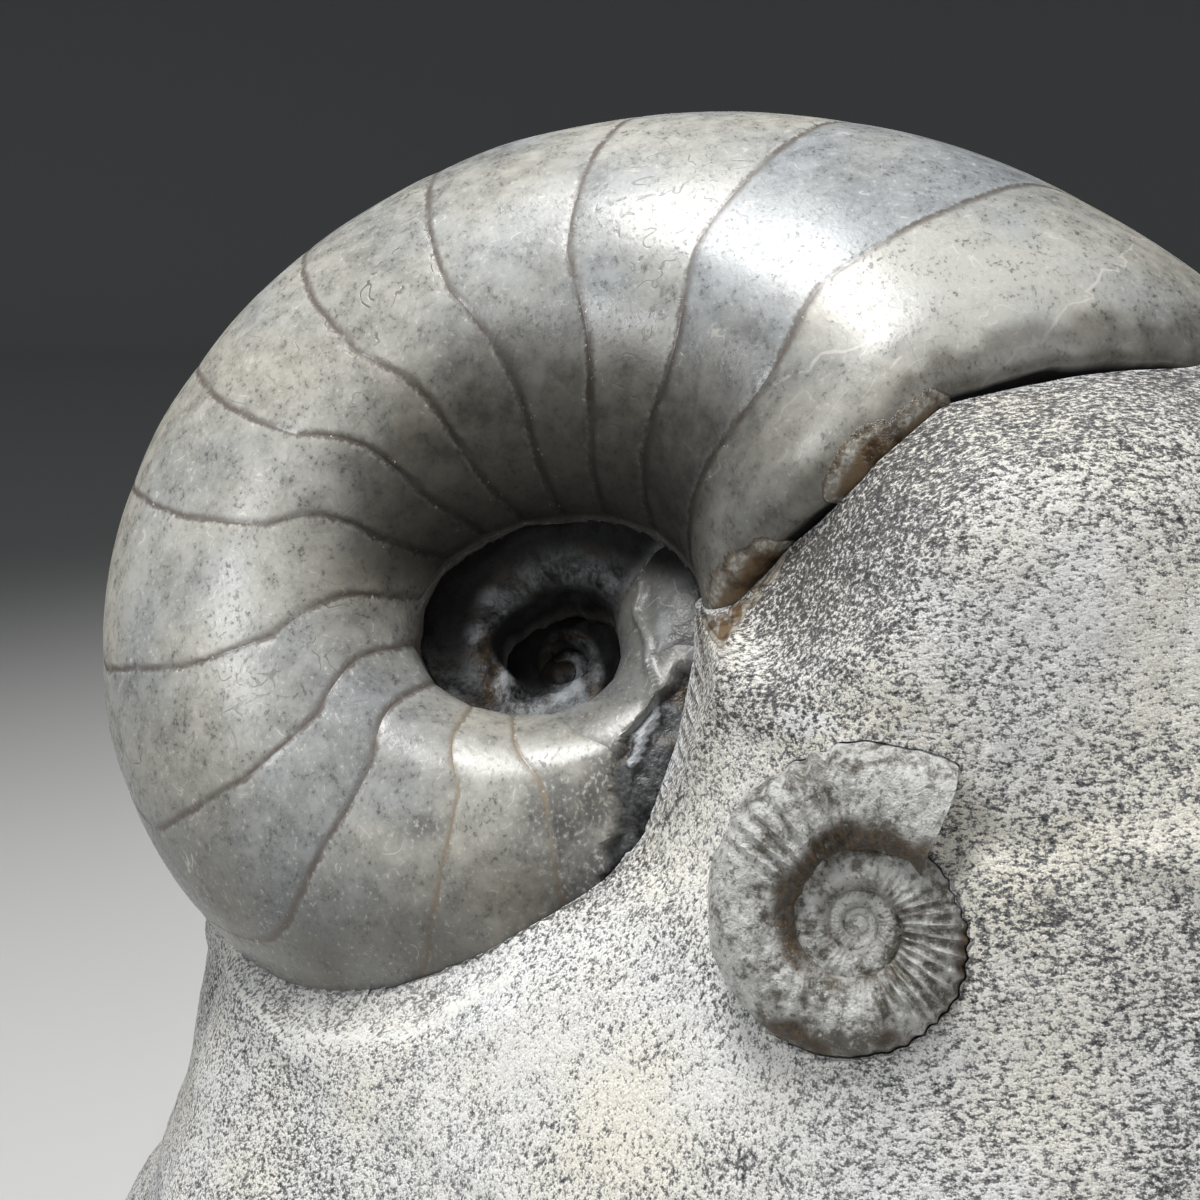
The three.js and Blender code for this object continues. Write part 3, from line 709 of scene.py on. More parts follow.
def shell_marks(points, phase, across):
    """Point values that the shell's finish reads: slow changes of colour over the chambers, with painted
    shade and painted highlights.
    """
    warm, light, crackle = shell_tones(points, phase, across)
    brown_and_shade, smudge = shell_stains(points, phase, across)
    worn = 0.55 * rise_between(*WORN_RIM, phase) * rise_between(*WORN_OUTER, across) * (phase > OUTER_FROM)
    worn = worn * rise_between(*DARK_RIM, phase)
    # painted highlight along the rim's ridge
    ridge = 1.2 * rise_between(0.5, 0.15, from_rim_ridge(points)) * on_rim(phase)
    return {
        "phase": np.minimum(phase, LAST_SUTURE - 0.5),
        "pace": pace(phase, across),
        "warm": warm,
        "light": light,
        # brown patina, with painted shade on the shaded umbilical wall
        "brown_and_shade": brown_and_shade,
        "crackle": crackle,
        "smudge": smudge,
        "bare": most(broken_away(points, phase, across), rise_between(*INNER_DARKNESS, phase), worn),
        # painted shade: where the finish is painted nearly black
        "painted_shade": painted_shell_shade(points, phase, across),
        # painted highlights on the rough shell: faint noise, the rim's ridge and the listed places
        "painted_highlight": layers(points, (0.25, 2.5, 39)) + ridge + spots(points, PAINTED_HIGHLIGHTS),
        "amber": np.zeros(phase.shape),
        "vein": vein_distance(points),
        "across": across,
    }


def nautilus_shell():
    """The coil in lengths of under a turn, each whorl fused to the one inside it."""
    lengths = []
    for first, last in zip(SPLITS, [*SPLITS[1:], LAST_SUTURE]):
        columns = shell_columns(*(OUTER_COLUMNS if first >= OUTER_FROM else INNER_COLUMNS))
        rings, phase, across, bare = whorl_rings(chamber_lines(first, last), columns)
        marks = shell_marks(bare, phase, across)
        if last == LAST_SUTURE:
            rings, marks = broken_end(phase, across, bare, marks)
        lengths.append(solid_from_rings(f"length{first}", rings, marks))
    middle = core(NAUTILUS, phase=-45.3, pace=3, warm=0.3, light=0.4, bare=1, across=0.9, vein=FAR_OFF)
    shell = combined("nautilus_shell", lengths[-1], [*lengths[-2::-1], middle], "UNION")
    return smoothed(largest_body(shell), 50)


def rolled_end(phase, across, grow):
    """Turn and push of places near the broken edge, where the shell rolls inwards and runs on a little.

    The roll is most of a quarter round: at a share s of its length it has fallen by 1 - sqrt(1 - 0.96 s^2),
    taken as a share of 0.8, which is how far it falls in all.
    """
    to_end = (LAST_SUTURE - phase) * np.radians(SUTURE_PITCH) * LIP_RADIUS
    inward = np.clip(1 - to_end / LIP_RUN, 0, 1)
    fall = LIP_FALL * (1 - np.sqrt(1 - 0.96 * inward**2)) / 0.8
    return turn_at(phase, across) + LIP_RUNS_ON * inward**2, grow - fall, to_end


def broken_end(phase, across, bare, marks):
    """The shell's rolled rim, closed by rough rings that sink in the middle."""
    turn, push, to_end = rolled_end(phase, across, shell_relief(bare, phase, across))
    jag = layers(bare, *LIP_JAGS)
    rings = coil_points(NAUTILUS, turn + 0.5 * (jag - 0.5) * rise_between(2, 0, to_end), across, push)
    rim = rings[-1]
    caps = []
    for share in END_SHARES:
        cap = rim + (rim.mean(0) - rim) * share
        caps.append(cap + layers(cap, END_GRAIN)[:, None] * np.array(END_LEAN))
    marks["brown_and_shade"] = most(marks["brown_and_shade"], 0.75 * rise_between(2.1, 1.5, to_end + jag))
    marks["amber"] = shell_calcite(rings, phase)
    for name, values in marks.items():
        values = np.broadcast_to(values, phase.shape)
        # the broken end's rings are fully bare, and painted in full shade
        rough = 1 if name in ("bare", "painted_shade") else values[-1:]
        marks[name] = np.concatenate([values, np.broadcast_to(rough, (len(caps), phase.shape[1]))])
    return np.concatenate([rings, np.array(caps)]), marks


def shell_calcite(rings, phase):
    """How far past its listed edge the brown calcite has grown on the last chambers, from 0 to 1."""
    seat, *_, place = nearest_on_seam(rings[..., 0], rings[..., 2])
    edge = along(SHELL_CALCITE, place + layers(rings, (0.1, 2, 41)))
    past_edge = seat - edge + layers(rings, (0.6, 2.2, 40))
    listed = (place > SHELL_CALCITE[0][0]) & (place < SHELL_CALCITE[-1][0])
    near_side = rings[..., 1] < 0
    return rise_between(-1.2, 2.4, past_edge) * (listed & near_side & (phase > CALCITE_FROM))


def nautilus_hollow():
    """The coil grown by the gap and run on past its end, to cut its bed into the stone."""
    lengths = []
    for first, last in zip(SPLITS, [*SPLITS[1:], LAST_SUTURE]):
        rows_per_chamber = 8 if first >= INNERMOST_UNTIL else 3
        phases = np.arange(first, last + 0.01, 1 / rows_per_chamber)
        phase, across = np.meshgrid(phases, shell_columns(*BED_COLUMNS), indexing="ij")
        turn, push, _ = rolled_end(phase, across, FOSSIL_GAP)
        turn[0] -= 1.5
        if last == LAST_SUTURE:
            turn[-1] += 0.5
        lengths.append(solid_from_rings(f"bed{first}", coil_points(NAUTILUS, turn, across, push)))
    return [*lengths, core(NAUTILUS, FOSSIL_GAP)]


# ---------------------------------------------------------------- ammonite

AMMONITE_COLUMNS = 75
AMMONITE_ROWS_PER_TURN = 250
AMMONITE_SPLITS = [AMMONITE.first_turn, -787.5, -487.5, -187.5]
FINE_RIBS_PER_TURN = 42

# How strongly the ribs stand, over the turn.
RIBS_LEFT = [
    (-560, 0.2), (-260, 0.22), (-215, 0.5), (-170, 1.0), (-115, 1.1), (-92, 0.5), (-70, 0.08), (20, 0.08),
    (44, 0.9), (82, 1.0), (92, 0.12), (150, 0.12),
]
ROUGH_AMMONITE = [(0.24, 2.2, 11), (0.15, 1.0, 12), (0.09, 0.5, 13)]

# Places on the ammonite, each a centre, reach and strength.
LOWER_RIM = [((17.5, -44, 44.2), (11, 30, 4), 1), ((28, -44, 50), (3.5, 30, 8), 0.7)]
PALE_PLACES = [
    ((9.3, -42, 55), (5, 30, 10), 0.8), ((24, -42, 62.5), (9, 30, 4), 0.8),
    ((19.2, -42, 53.2), (3.2, 30, 3.2), 1.7),
]


def ammonite_ribs(points, turn, across):
    """Ribs from 0 to 1, uneven in their spacing, that stand only where they aren't worn away."""
    on_flank = np.sin(np.pi * np.clip(np.abs(across) / 0.93, 0, 1)) ** 0.5
    wave = FINE_RIBS_PER_TURN * np.radians(turn) + 1.6 * grain(points, 3.2, 16)
    return on_flank * along(RIBS_LEFT, turn) * (0.5 + 0.5 * np.cos(wave)) ** 1.5


def ammonite_end(across):
    """The mouth's turn, which runs on towards the seam."""
    mouth, runs_on = AMMONITE_MOUTH
    return mouth + runs_on * np.abs(across)


def past_end(across):
    """A little past the mouth."""
    return ammonite_end(across) + 0.8


def ammonite_lengths(end, grow, rows_per_turn, columns):
    """The ammonite, with its relief, in lengths of under a turn."""
    across = np.linspace(-1, 1, columns)
    lengths = []
    for first, last in zip(AMMONITE_SPLITS, [*AMMONITE_SPLITS[1:], None]):
        until = end(across) if last is None else np.full(columns, last)
        rows = int(rows_per_turn * (until.mean() - first) / TURN)
        share = np.linspace(0, 1, rows)[:, None]
        turn = first + (until - first) * share
        place = np.broadcast_to(across, turn.shape)
        bare = coil_points(AMMONITE, turn, place)
        rings = coil_points(AMMONITE, turn, place, grow + ammonite_relief(bare, turn, place))
        lengths.append(solid_from_rings(f"coil{first}", rings, ammonite_marks(bare, turn, place)))
    return lengths


def ammonite_marks(points, turn, across):
    """Point values that the ammonite's finish reads."""
    outer_whorl = rise_between(-150, -120, turn) * rise_between(-60, -10, turn)
    groove = rise_between(0.60, 0.74, across + layers(points, (0.06, 1.5, 41)))
    lower_rim = spots(points, LOWER_RIM)
    return {
        "rib": ammonite_ribs(points, turn, across),
        "groove": groove * (0.35 + 0.65 * outer_whorl),
        "stain": 1.7 * lower_rim * rise_between(-0.6, 0.2, grain(points, 2.6, 42)),
        "pale": spots(points, PALE_PLACES) - 1.3 * lower_rim + layers(points, (0.5, 3, 43)),
    }


def ammonite_relief(points, turn, across):
    """Ribs where they are left, a notched rim on the upper left and a rough weathered skin."""
    radius = outer_radius(AMMONITE, turn)
    ribs = 0.9 * RIB_HEIGHT * radius * (ammonite_ribs(points, turn, across) - 0.4)
    rim = rise_between(0.34, 0.1, np.abs(across)) * rise_between(-20, 30, turn)
    notches = 0.3 * (np.tanh(layers(points, (3, 3.4, 17))) - 1) * rim
    by_rim = 0.4 + 0.6 * rise_between(0.1, 0.35, np.abs(across))
    return ribs + notches + layers(points, *ROUGH_AMMONITE) * by_rim * np.clip(radius / 6, 0.4, 1)


def small_ammonite():
    """The ribbed coil, each whorl fused to the one inside it."""
    lengths = ammonite_lengths(ammonite_end, 0, AMMONITE_ROWS_PER_TURN, AMMONITE_COLUMNS)
    middle = core(AMMONITE, rib=0.3, pale=0.8)
    coil = combined("small_ammonite", lengths[-1], [*lengths[-2::-1], middle], "UNION")
    return smoothed(largest_body(coil), 50)


def ammonite_hollow():
    """The ammonite grown by the gap, to cut its bed into the stone."""
    lengths = ammonite_lengths(past_end, FOSSIL_GAP, AMMONITE_ROWS_PER_TURN, AMMONITE_COLUMNS)
    return [*lengths, core(AMMONITE, FOSSIL_GAP)]


# ---------------------------------------------------------------- matrix stone

STONE_COLUMNS = {"front": 290, "side": 36, "back": 70}
STONE_ROWS = 165
STONE_CAP_ROWS = 12
CLOSER_AT, CLOSER_OVER, CLOSER_BY = 8, 9, 1.3  # columns stand closer together around this x
RIM_REACH = 14  # points on each side, over which the block's upper rim is evened out towards its cap

# The stone's lip beside the umbilicus: its points on the seam, its x, how far around it columns are
# moved, and the heights between which it runs.
STONE_LIP = slice(5, 10)
STONE_LIP_AT, STONE_LIP_REACH = 7.5, 7
STONE_LIP_START, STONE_LIP_END = (45, 50), (78, 72)

# Places on the stone that differ in cloud, cream and bruises, each a centre, reach and strength.
CLOUD_SPOTS = [
    ((12.5, -30, 67), (6.4, 40, 4), 0.8), ((4.7, -38, 40), (4.8, 40, 3), 0.8),
    ((9, -46, 36), (5.6, 40, 3.5), 0.8), ((33, -43, 55), (4.8, 40, 3), 0.8),
    ((60, -40, 66), (6.4, 40, 4), 0.8), ((46, -44, 48), (4.8, 40, 3), 0.8),
    ((42, -38, 74), (26, 40, 9), -1.1), ((62, -38, 62), (22, 40, 14), -1.1),
    ((2, -42, 38), (20, 40, 10), -1.1),
]
CREAM_SPOTS = [((52, -42, 62), (30, 40, 14), 0.35)]
BRUISES = [
    ((24, -38, 77), (5, 40, 2.5), 1.1), ((36, -38, 80), (6, 40, 3), 1.1),
    ((15, -38, 66), (5, 40, 2.5), 1.1), ((17, -42, 66.5), (2.6, 40, 1.3), 1.1),
    ((23, -42, 67), (2.6, 40, 1.3), 1.1),
]

# Brown calcite over the seam's listed points: where it begins on the shell, in millimetres from the seam,
# and how wide it is on the stone.
SHELL_CALCITE = [
    (9.2, 3), (9.4, -2.8), (10.2, -3.6), (10.8, -4), (11.3, -2.8), (11.6, -1), (11.75, 3), (12.2, 3),
    (12.35, -1), (12.8, -1.3), (13.2, -0.9), (13.4, 0), (13.9, 0.7), (14.3, 3),
]
CALCITE_FROM = 7  # phase
STONE_CALCITE = [(8.9, 0), (9.3, 0.22), (10.5, 0.2), (11.8, 0.2), (12.2, 0)]


def thin_plate(posts, slack):
    """A springy plate y over (x, z) near the posts: each adds w r^2 log r^2 to a level and two slopes."""

    def bend(x, z):
        square = (x[..., None] - posts[:, 0]) ** 2 + (z[..., None] - posts[:, 2]) ** 2
        return np.where(square < 1e-9, 0, square * np.log(np.maximum(square, 1e-9)))

    count = len(posts)
    plane = np.column_stack([np.ones(count), posts[:, 0], posts[:, 2]])
    system = np.zeros((count + 3, count + 3))
    system[:count, :count] = bend(posts[:, 0], posts[:, 2]) + slack * np.eye(count)
    system[:count, count:] = plane
    system[count:, :count] = plane.T
    weights = np.linalg.solve(system, np.append(posts[:, 1], [0, 0, 0]))
    return lambda x, z: (
        bend(x, z) @ weights[:count] + weights[count] + weights[count + 1] * x + weights[count + 2] * z)


def plain_front():
    """The front face before it is grooved along the seam."""
    base = SEAM[:, :3] - SEAM[:, 3:4] * np.array([0, 1, 0])
    return thin_plate(np.concatenate([base, FRONT_POSTS]), POST_SLACK)


def beside_line(x, z, line):
    """Signed distance to a line in the front view, positive on its right, and the place along its points."""
    best = np.full(np.shape(x), np.inf)
    signed, place = np.zeros(np.shape(x)), np.zeros(np.shape(x))
    for i, ((ax, az), (bx, bz)) in enumerate(zip(line[:-1], line[1:])):
        run_x, run_z = bx - ax, bz - az
        share = np.clip(((x - ax) * run_x + (z - az) * run_z) / (run_x**2 + run_z**2), 0, 1)
        off_x, off_z = x - ax - share * run_x, z - az - share * run_z
        distance = np.hypot(off_x, off_z)
        nearer = distance < best
        best = np.where(nearer, distance, best)
        signed = np.where(nearer, np.where(run_x * off_z < run_z * off_x, distance, -distance), signed)
        place = np.where(nearer, i + share, place)
    return signed, place


def nearest_on_seam(x, z):
    """Signed distance to the seam, positive on the stone's side, with its groove, width and place."""
    signed, place = beside_line(x, z, SEAM[:, [0, 2]])
    points = np.arange(len(SEAM))
    return signed, np.interp(place, points, SEAM[:, 3]), np.interp(place, points, SEAM[:, 4]), place


def shell_plane(x, z):
    """Middle plane of the nautilus, as y over (x, z)."""
    axis = coil_tilt(NAUTILUS) @ Vector((0, 0, 1))
    cx, cy, cz = NAUTILUS.centre
    return cy - (axis.x * (x - cx) + axis.z * (z - cz)) / axis.y


# The scraped ledge under the nautilus: how far its ridge runs from the seam, over the seam's listed points.
LEDGE_RUN = [(0, 6), (1, 3.8), (2, 3.1), (3, 2.7), (4, 2.0), (5, 1.5)]
LEDGE_STEP = 0.3
RIDGE_RISE = 0.3
RIDGE_WIDTH = 0.5
PIT_DEPTH = 8  # behind the shell's middle plane, in the middle of the umbilicus
PIT_MIDDLE = (NAUTILUS.centre[0], NAUTILUS.centre[2] - 2)
PIT_EDGE = (15, 9)
CREVICE_DEPTH = 3.0  # extra groove beside the shell's rolled edge
CREVICE_WIDTH = 2.6
CREVICE_FROM = (10.5, 12.5)  # over the seam's listed points


def from_ridge(signed, place):
    """Millimetres past the ledge's ridge, away from the seam, and how fully the ridge stands there."""
    return signed - along(LEDGE_RUN, place), rise_between(5, 4, place)


def stone_front(x, z):
    """The plate, grooved beside the seam, dropping steeply to the shell's middle plane past it."""
    signed, groove, width, place = nearest_on_seam(x, z)
    past, standing = from_ridge(signed, place)
    ledge = LEDGE_STEP * rise_between(0.4, -0.8, past) - RIDGE_RISE * np.exp(-((past / RIDGE_WIDTH) ** 2))
    plate = PLAIN_FRONT(x, z) + ledge * standing * rise_between(0, 1, signed)
    nearness = np.clip(1 - np.abs(signed) / width, 0, 1)
    crevice = CREVICE_DEPTH * rise_between(*CREVICE_FROM, place)
    deep = crevice * np.clip(1 - np.abs(signed) / CREVICE_WIDTH, 0, 1) ** 1.5
    at_seam = plate + groove + crevice
    pit = PIT_DEPTH * rise_between(*PIT_EDGE, np.hypot(x - PIT_MIDDLE[0], z - PIT_MIDDLE[1]))
    slope = along(WALL_SLOPE, place)
    dropped = np.maximum(at_seam, np.minimum(at_seam - slope * signed, shell_plane(x, z) + pit))
    return np.where(signed >= 0, plate + groove * nearness**GROOVE_POWER + deep, dropped)


def stone_marks(points, front_share):
    """Point values that the stone's finish reads: clouds, painted shadow under the shell and in the
    crevices, stains, the ledge and the way its grain runs.
    """
    x, z = points[..., 0], points[..., 2]
    signed, *_, place = nearest_on_seam(x, z)
    past, standing = from_ridge(signed, place)
    cloud = layers(points, (0.35, 8, 53), (0.35, 3.4, 54)) + spots(points, CLOUD_SPOTS)
    # painted shadow on the stone under the shell's overhanging edge, as more and darker grains
    painted_shadow_under_shell = rise_between(9.2, 11, place) * rise_between(11, 0.5, signed) * front_share
    chunk = along(STONE_CALCITE, place) * (1 + layers(points, (0.6, 1.8, 57)))
    amber = rise_between(1, 0.5, signed / np.maximum(chunk, 0.02)) * (chunk > 0.05) * (signed > -0.3)
    # painted shadow: under the shell's edge, on the steep wall beside the umbilicus and by the seam where no
    # ledge stands
    under_edge = rise_between(9.5, 10.5, place) * rise_between(5, 0.5, signed)
    wall = 2 * rise_between(0.05, -0.6, signed) * rise_between(5, 6, place)
    shaded_edge = 0.7 * rise_between(2.5, 0.3, signed) * (1 - standing)
    return {
        "past_ridge": past + FAR_OFF * (1 - standing),
        "cream": 0.45 + layers(points, (0.35, 11, 51), (0.2, 5, 52)) + spots(points, CREAM_SPOTS),
        # grain clouds, plus painted shadow under the shell
        "cloud": cloud + 1.5 * painted_shadow_under_shell,
        "white": layers(points, (0.6, 7, 55), (0.4, 3, 56)) - 0.2 + spots(points, BRUISES),
        "amber": amber * front_share,
        "shadow": most(under_edge, wall, shaded_edge) * front_share,
        "upright": rise_between(24, 8, x) * rise_between(-24, -4, x) * rise_between(66, 50, z),
        "worked": front_share,
    }


def broken_relief(points):
    """Waves, and ledges that step across slanted bedding planes, in millimetres outwards."""
    waves = sum(size * np.sin(points @ np.array(k) + offset) for size, *k, offset in WAVES)
    ledges = sum(size * np.tanh((points @ np.array(k) - at) * LEDGE_SHARPNESS) for size, *k, at in LEDGES)
    return waves + ledges


def fracture(points):
    """Finer relief of a broken face: sharp-edged lumps, from the size of a nut down to sand."""
    lumps = sum(height * (0.5 - np.abs(grain(points, size, seed))) for height, size, seed in LUMPS)
    return lumps + layers(points, LUMP_SAND)


def worked_skin(points):
    """Fine relief of the worked front: shallow tool dents and sand-sized pits."""
    return layers(points, *TOOL_DENTS)


def edge_fall(distance):
    """How far a quarter-round edge falls back at a distance from the edge."""
    inward = np.clip(EDGE_ROUND - distance, 0, EDGE_ROUND)
    return EDGE_ROUND - np.sqrt(EDGE_ROUND**2 - inward**2)


def stone_face(rise, share, tops):
    """x, z and the fall of the edge, for rows at shares of the height and columns at shares of the width."""
    rise, share = np.meshgrid(rise, share, indexing="ij")
    low, high = BLOCK_REACH
    rough_z = rise * along(tops, low + (high - low) * share)
    left, right = along(LEFT_OVER_Z, rough_z), along(RIGHT_OVER_Z, rough_z)
    x = left + (right - left) * share
    top = along(tops, x)
    z = rise * top
    fall = edge_fall(np.minimum(share, 1 - share) * (right - left)) + edge_fall(top - z)
    return x, z, fall


def front_points(rise, share):
    """The front face, with its relief; beside the umbilicus one column follows the stone's lip."""
    x, z, fall = stone_face(rise, share, FRONT_TOP_OVER_X)
    lip = np.interp(z[:, :1], SEAM[STONE_LIP, 2], SEAM[STONE_LIP, 0])
    nearest = np.abs(x[len(x) // 2] - STONE_LIP_AT).argmin()
    column = x[:, nearest:nearest + 1]
    upright = rise_between(*STONE_LIP_START, z) * rise_between(*STONE_LIP_END, z)
    x = x + (lip - column) * np.exp(-(((x - column) / STONE_LIP_REACH) ** 2)) * upright
    points = np.stack([x, stone_front(x, z) + fall, z], -1)
    points[..., 1] -= FRONT_RELIEF * broken_relief(points) + worked_skin(points)
    return points


def front_columns():
    """Shares of the front's width, closer together beside the umbilicus."""
    even = np.linspace(0, 1, 400)
    left, right = BLOCK_REACH
    off = ((right - left) * even + left - CLOSER_AT) / CLOSER_OVER
    weight = np.cumsum(1 + CLOSER_BY * np.exp(-(off**2)))
    weight = (weight - weight[0]) / (weight[-1] - weight[0])
    return np.interp(np.linspace(0, 1, STONE_COLUMNS["front"] + 1), weight, even)


def back_points(rise, share):
    """The broken back face."""
    x, z, fall = stone_face(rise, share, BACK_TOP_OVER_X)
    points = np.stack([x, along(BACK_OVER_Z, z) - fall, z], -1)
    points[..., 1] += broken_relief(points) + fracture(points)
    return points


def side_points(front_edge, back_edge, outward):
    """A side swells outwards between the front's edge and the back's edge."""
    step = (np.arange(1, STONE_COLUMNS["side"]) / STONE_COLUMNS["side"])[:, None]
    points = front_edge[:, None] + (back_edge - front_edge)[:, None] * step
    swell = np.sin(np.pi * step[:, 0])
    relief = SIDE_BULGE + SIDE_RELIEF * (broken_relief(points) + fracture(points))
    points[..., 0] += outward * swell**0.8 * relief
    return points


def evened(ring, reach):
    """A ring of points, each moved to the average of its neighbours up to a number of points away."""
    padded = np.concatenate([ring[-reach:], ring, ring[:reach]])
    total = np.cumsum(np.concatenate([np.zeros((1, 3)), padded]), 0)
    return (total[2 * reach + 1:] - total[:-2 * reach - 1]) / (2 * reach + 1)


def stone_block():
    """Rings up the block: along the front to the right, round the right side, back, round the left side."""
    rise = np.linspace(0, 1, STONE_ROWS + 1)
    front = front_points(rise, front_columns())
    back = back_points(rise, np.linspace(1, 0, STONE_COLUMNS["back"] + 1))
    right = side_points(front[:, -1], back[:, 0], 1)
    left = side_points(front[:, 0], back[:, -1], -1)[:, ::-1]
    rings = np.concatenate([front, right, back, left], axis=1)
    rings[0, :, 2] = 0
    rim = rings[-1]
    inward = (np.arange(1, STONE_CAP_ROWS) / STONE_CAP_ROWS)[:, None, None]
    cap = rim + (evened(rim, RIM_REACH) - rim) * np.minimum(4 * inward, 1)
    cap = cap + (rim.mean(0) - cap) * inward
    cap[..., 2] += DOME_RISE * (1 - (1 - inward[..., 0]) ** 2)
    cap[..., 2] += np.sin(np.pi * inward[..., 0] / 2) * fracture(cap)
    rings = np.concatenate([rings, cap])
    on_front = (np.arange(rings.shape[1]) <= STONE_COLUMNS["front"]) * np.ones((len(rings), 1))
    on_front[-STONE_CAP_ROWS + 1:] = 0
    solid = solid_from_rings("block", rings, stone_marks(rings, on_front))
    block = combined("stone_block", solid, [*nautilus_hollow(), *ammonite_hollow()], "DIFFERENCE")
    return smoothed(largest_body(block), 60)


PLAIN_FRONT = plain_front()
ORIGIN = drawing_origin()

# ---------------------------------------------------------------- finishes


# Colours are linear red, green and blue.
COOL_SHELL, WARM_SHELL = (0.325, 0.345, 0.36), (0.475, 0.455, 0.395)
DARK_FLECK, PALE_FLECK, CRUMB = (0.11, 0.11, 0.105), (0.80, 0.79, 0.75), (0.82, 0.81, 0.77)
CRACK, VEIN, SMUDGE = (0.10, 0.10, 0.095), (0.80, 0.77, 0.70), (0.09, 0.09, 0.09)
DARK_UMBER, LIGHT_UMBER = (0.045, 0.036, 0.024), (0.13, 0.115, 0.085)
SUTURE, OLD_SUTURE, SUTURE_ON_BROWN = (0.15, 0.125, 0.108), (0.33, 0.27, 0.20), (0.035, 0.024, 0.015)
BLACK_SHELL, GREY_SHELL, RUST = (0.014, 0.014, 0.014), (0.115, 0.118, 0.122), (0.07, 0.046, 0.024)
PAINTED_SHELL_HIGHLIGHT, DEEP_SHADE = (0.46, 0.48, 0.50), (0.003, 0.003, 0.003)
DARK_CALCITE, BROWN_CALCITE = (0.065, 0.034, 0.013), (0.20, 0.135, 0.075)
WHITE_CALCITE, GREY_CALCITE = (0.60, 0.58, 0.52), (0.32, 0.31, 0.27)
WHITE_STONE, CREAM_STONE = (0.90, 0.90, 0.90), (0.95, 0.90, 0.78)
GREY_GRAIN, DARK_GRAIN, BLACK_GRAIN = (0.215, 0.215, 0.22), (0.16, 0.158, 0.16), (0.05, 0.05, 0.055)
BRUISE, STONE_CLOUD = (0.93, 0.93, 0.92), (0.30, 0.29, 0.28)
LEDGE, LEDGE_CREST, STONE_SHADOW = (0.62, 0.61, 0.57), (0.92, 0.91, 0.87), (0.07, 0.058, 0.045)
DULL_RIBS, PALE_RIBS, RIB_CREST = (0.15, 0.14, 0.115), (0.62, 0.62, 0.595), (0.62, 0.61, 0.58)
DARK_SPECK, PALE_SPECK = (0.07, 0.065, 0.055), (0.85, 0.84, 0.80)
DARK_OCHRE, OCHRE = (0.022, 0.013, 0.006), (0.15, 0.088, 0.036)
STUDIO_GREY = (0.62, 0.62, 0.61, 1)


class Finish:
    """A node material in the making. Sizes are millimetres on the piece's own Object coordinates."""

    def __init__(self, name):
        self.material = bpy.data.materials.new(name)
        self.material.use_nodes = True
        self.tree = self.material.node_tree
        self.shader = self.tree.nodes["Principled BSDF"]
        coordinates = self.node("TexCoord").outputs["Object"]
        self.spot = self.stretched((1, 1, 1), (0, 0, 0), coordinates, 1 / MM)

    def feed(self, socket, value):
        """Links another node's output to a socket, or gives the socket a plain value."""
        if isinstance(value, bpy.types.NodeSocket):
            self.tree.links.new(value, socket)
        else:
            socket.default_value = value

    def node(self, kind, inputs=(), **settings):
        """Adds a node; each input is a value or another node's output."""
        made = self.tree.nodes.new("ShaderNode" + kind)
        for setting, value in settings.items():
            setattr(made, setting, value)
        for socket, value in dict(inputs).items():
            self.feed(made.inputs[socket], value)
        return made

    def mark(self, name):
        """A point attribute of the mesh."""
        return self.node("Attribute", attribute_name=name).outputs["Fac"]

    def stretched(self, scale, turn, at=None, unit=1.0):
        """Coordinates turned and scaled: a small scale along an axis draws a pattern out along it."""
        inputs = {"Vector": at or self.spot, "Rotation": np.radians(turn), "Scale": np.array(scale) * unit}
        return self.node("Mapping", inputs).outputs[0]

    def noise(self, size, detail=3.0, roughness=0.5, distortion=0.0, at=None):
        """Cloudy pattern from 0 to 1 with features of a size."""
        inputs = {"Vector": at or self.spot, "Scale": 1 / size, "Detail": detail,
                  "Roughness": roughness, "Distortion": distortion}
        return self.node("TexNoise", inputs).outputs["Fac"]

    def calc(self, operation, a, b=0.0, c=0.0):
        """One arithmetic step."""
        return self.node("Math", {0: a, 1: b, 2: c}, operation=operation).outputs[0]

    def times(self, *values):
        """The product of several values."""
        return functools.reduce(functools.partial(self.calc, "MULTIPLY"), values)

    def plus(self, *values):
        """The sum of several values."""
        return functools.reduce(functools.partial(self.calc, "ADD"), values)

    def beyond(self, value, middle, strength=1.0):
        """How far a value lies beyond its middle, times a strength."""
        return self.times(self.calc("SUBTRACT", value, middle), strength)

    def away(self, value, middle=0.0):
        """How far a value lies from its middle, on either side."""
        return self.calc("ABSOLUTE", self.calc("SUBTRACT", value, middle))

    def band(self, value, low, high, to=(0.0, 1.0)):
        """A value eased from to[0] at low to to[1] at high; low may be above high."""
        start, end = to
        if low > high:
            low, high, start, end = high, low, end, start
        inputs = {"Value": value, "From Min": low, "From Max": high, "To Min": start, "To Max": end}
        return self.node("MapRange", inputs, interpolation_type="SMOOTHSTEP").outputs["Result"]

    def mix(self, share, a, b, blend="MIX"):
        """Colour a turned towards colour b by a share."""
        made = self.node("Mix", data_type="RGBA", blend_type=blend)
        sockets = {socket.identifier: socket for socket in [*made.inputs, *made.outputs]}
        self.feed(sockets["Factor_Float"], share)
        self.feed(sockets["A_Color"], (*a, 1) if isinstance(a, tuple) else a)
        self.feed(sockets["B_Color"], (*b, 1) if isinstance(b, tuple) else b)
        return sockets["Result_Color"]

    def finish(self, colour, roughness, height=None, **others):
        """Joins colour, roughness and a height in millimetres to the shader, with its other sockets."""
        if height is not None:
            relief = {"Height": height, "Strength": 1.0, "Distance": MM}
            others["Normal"] = self.node("Bump", relief).outputs[0]
        for socket, value in {"Base_Color": colour, "Roughness": roughness, **others}.items():
            self.feed(self.shader.inputs[socket.replace("_", " ")], value)
        return self.material


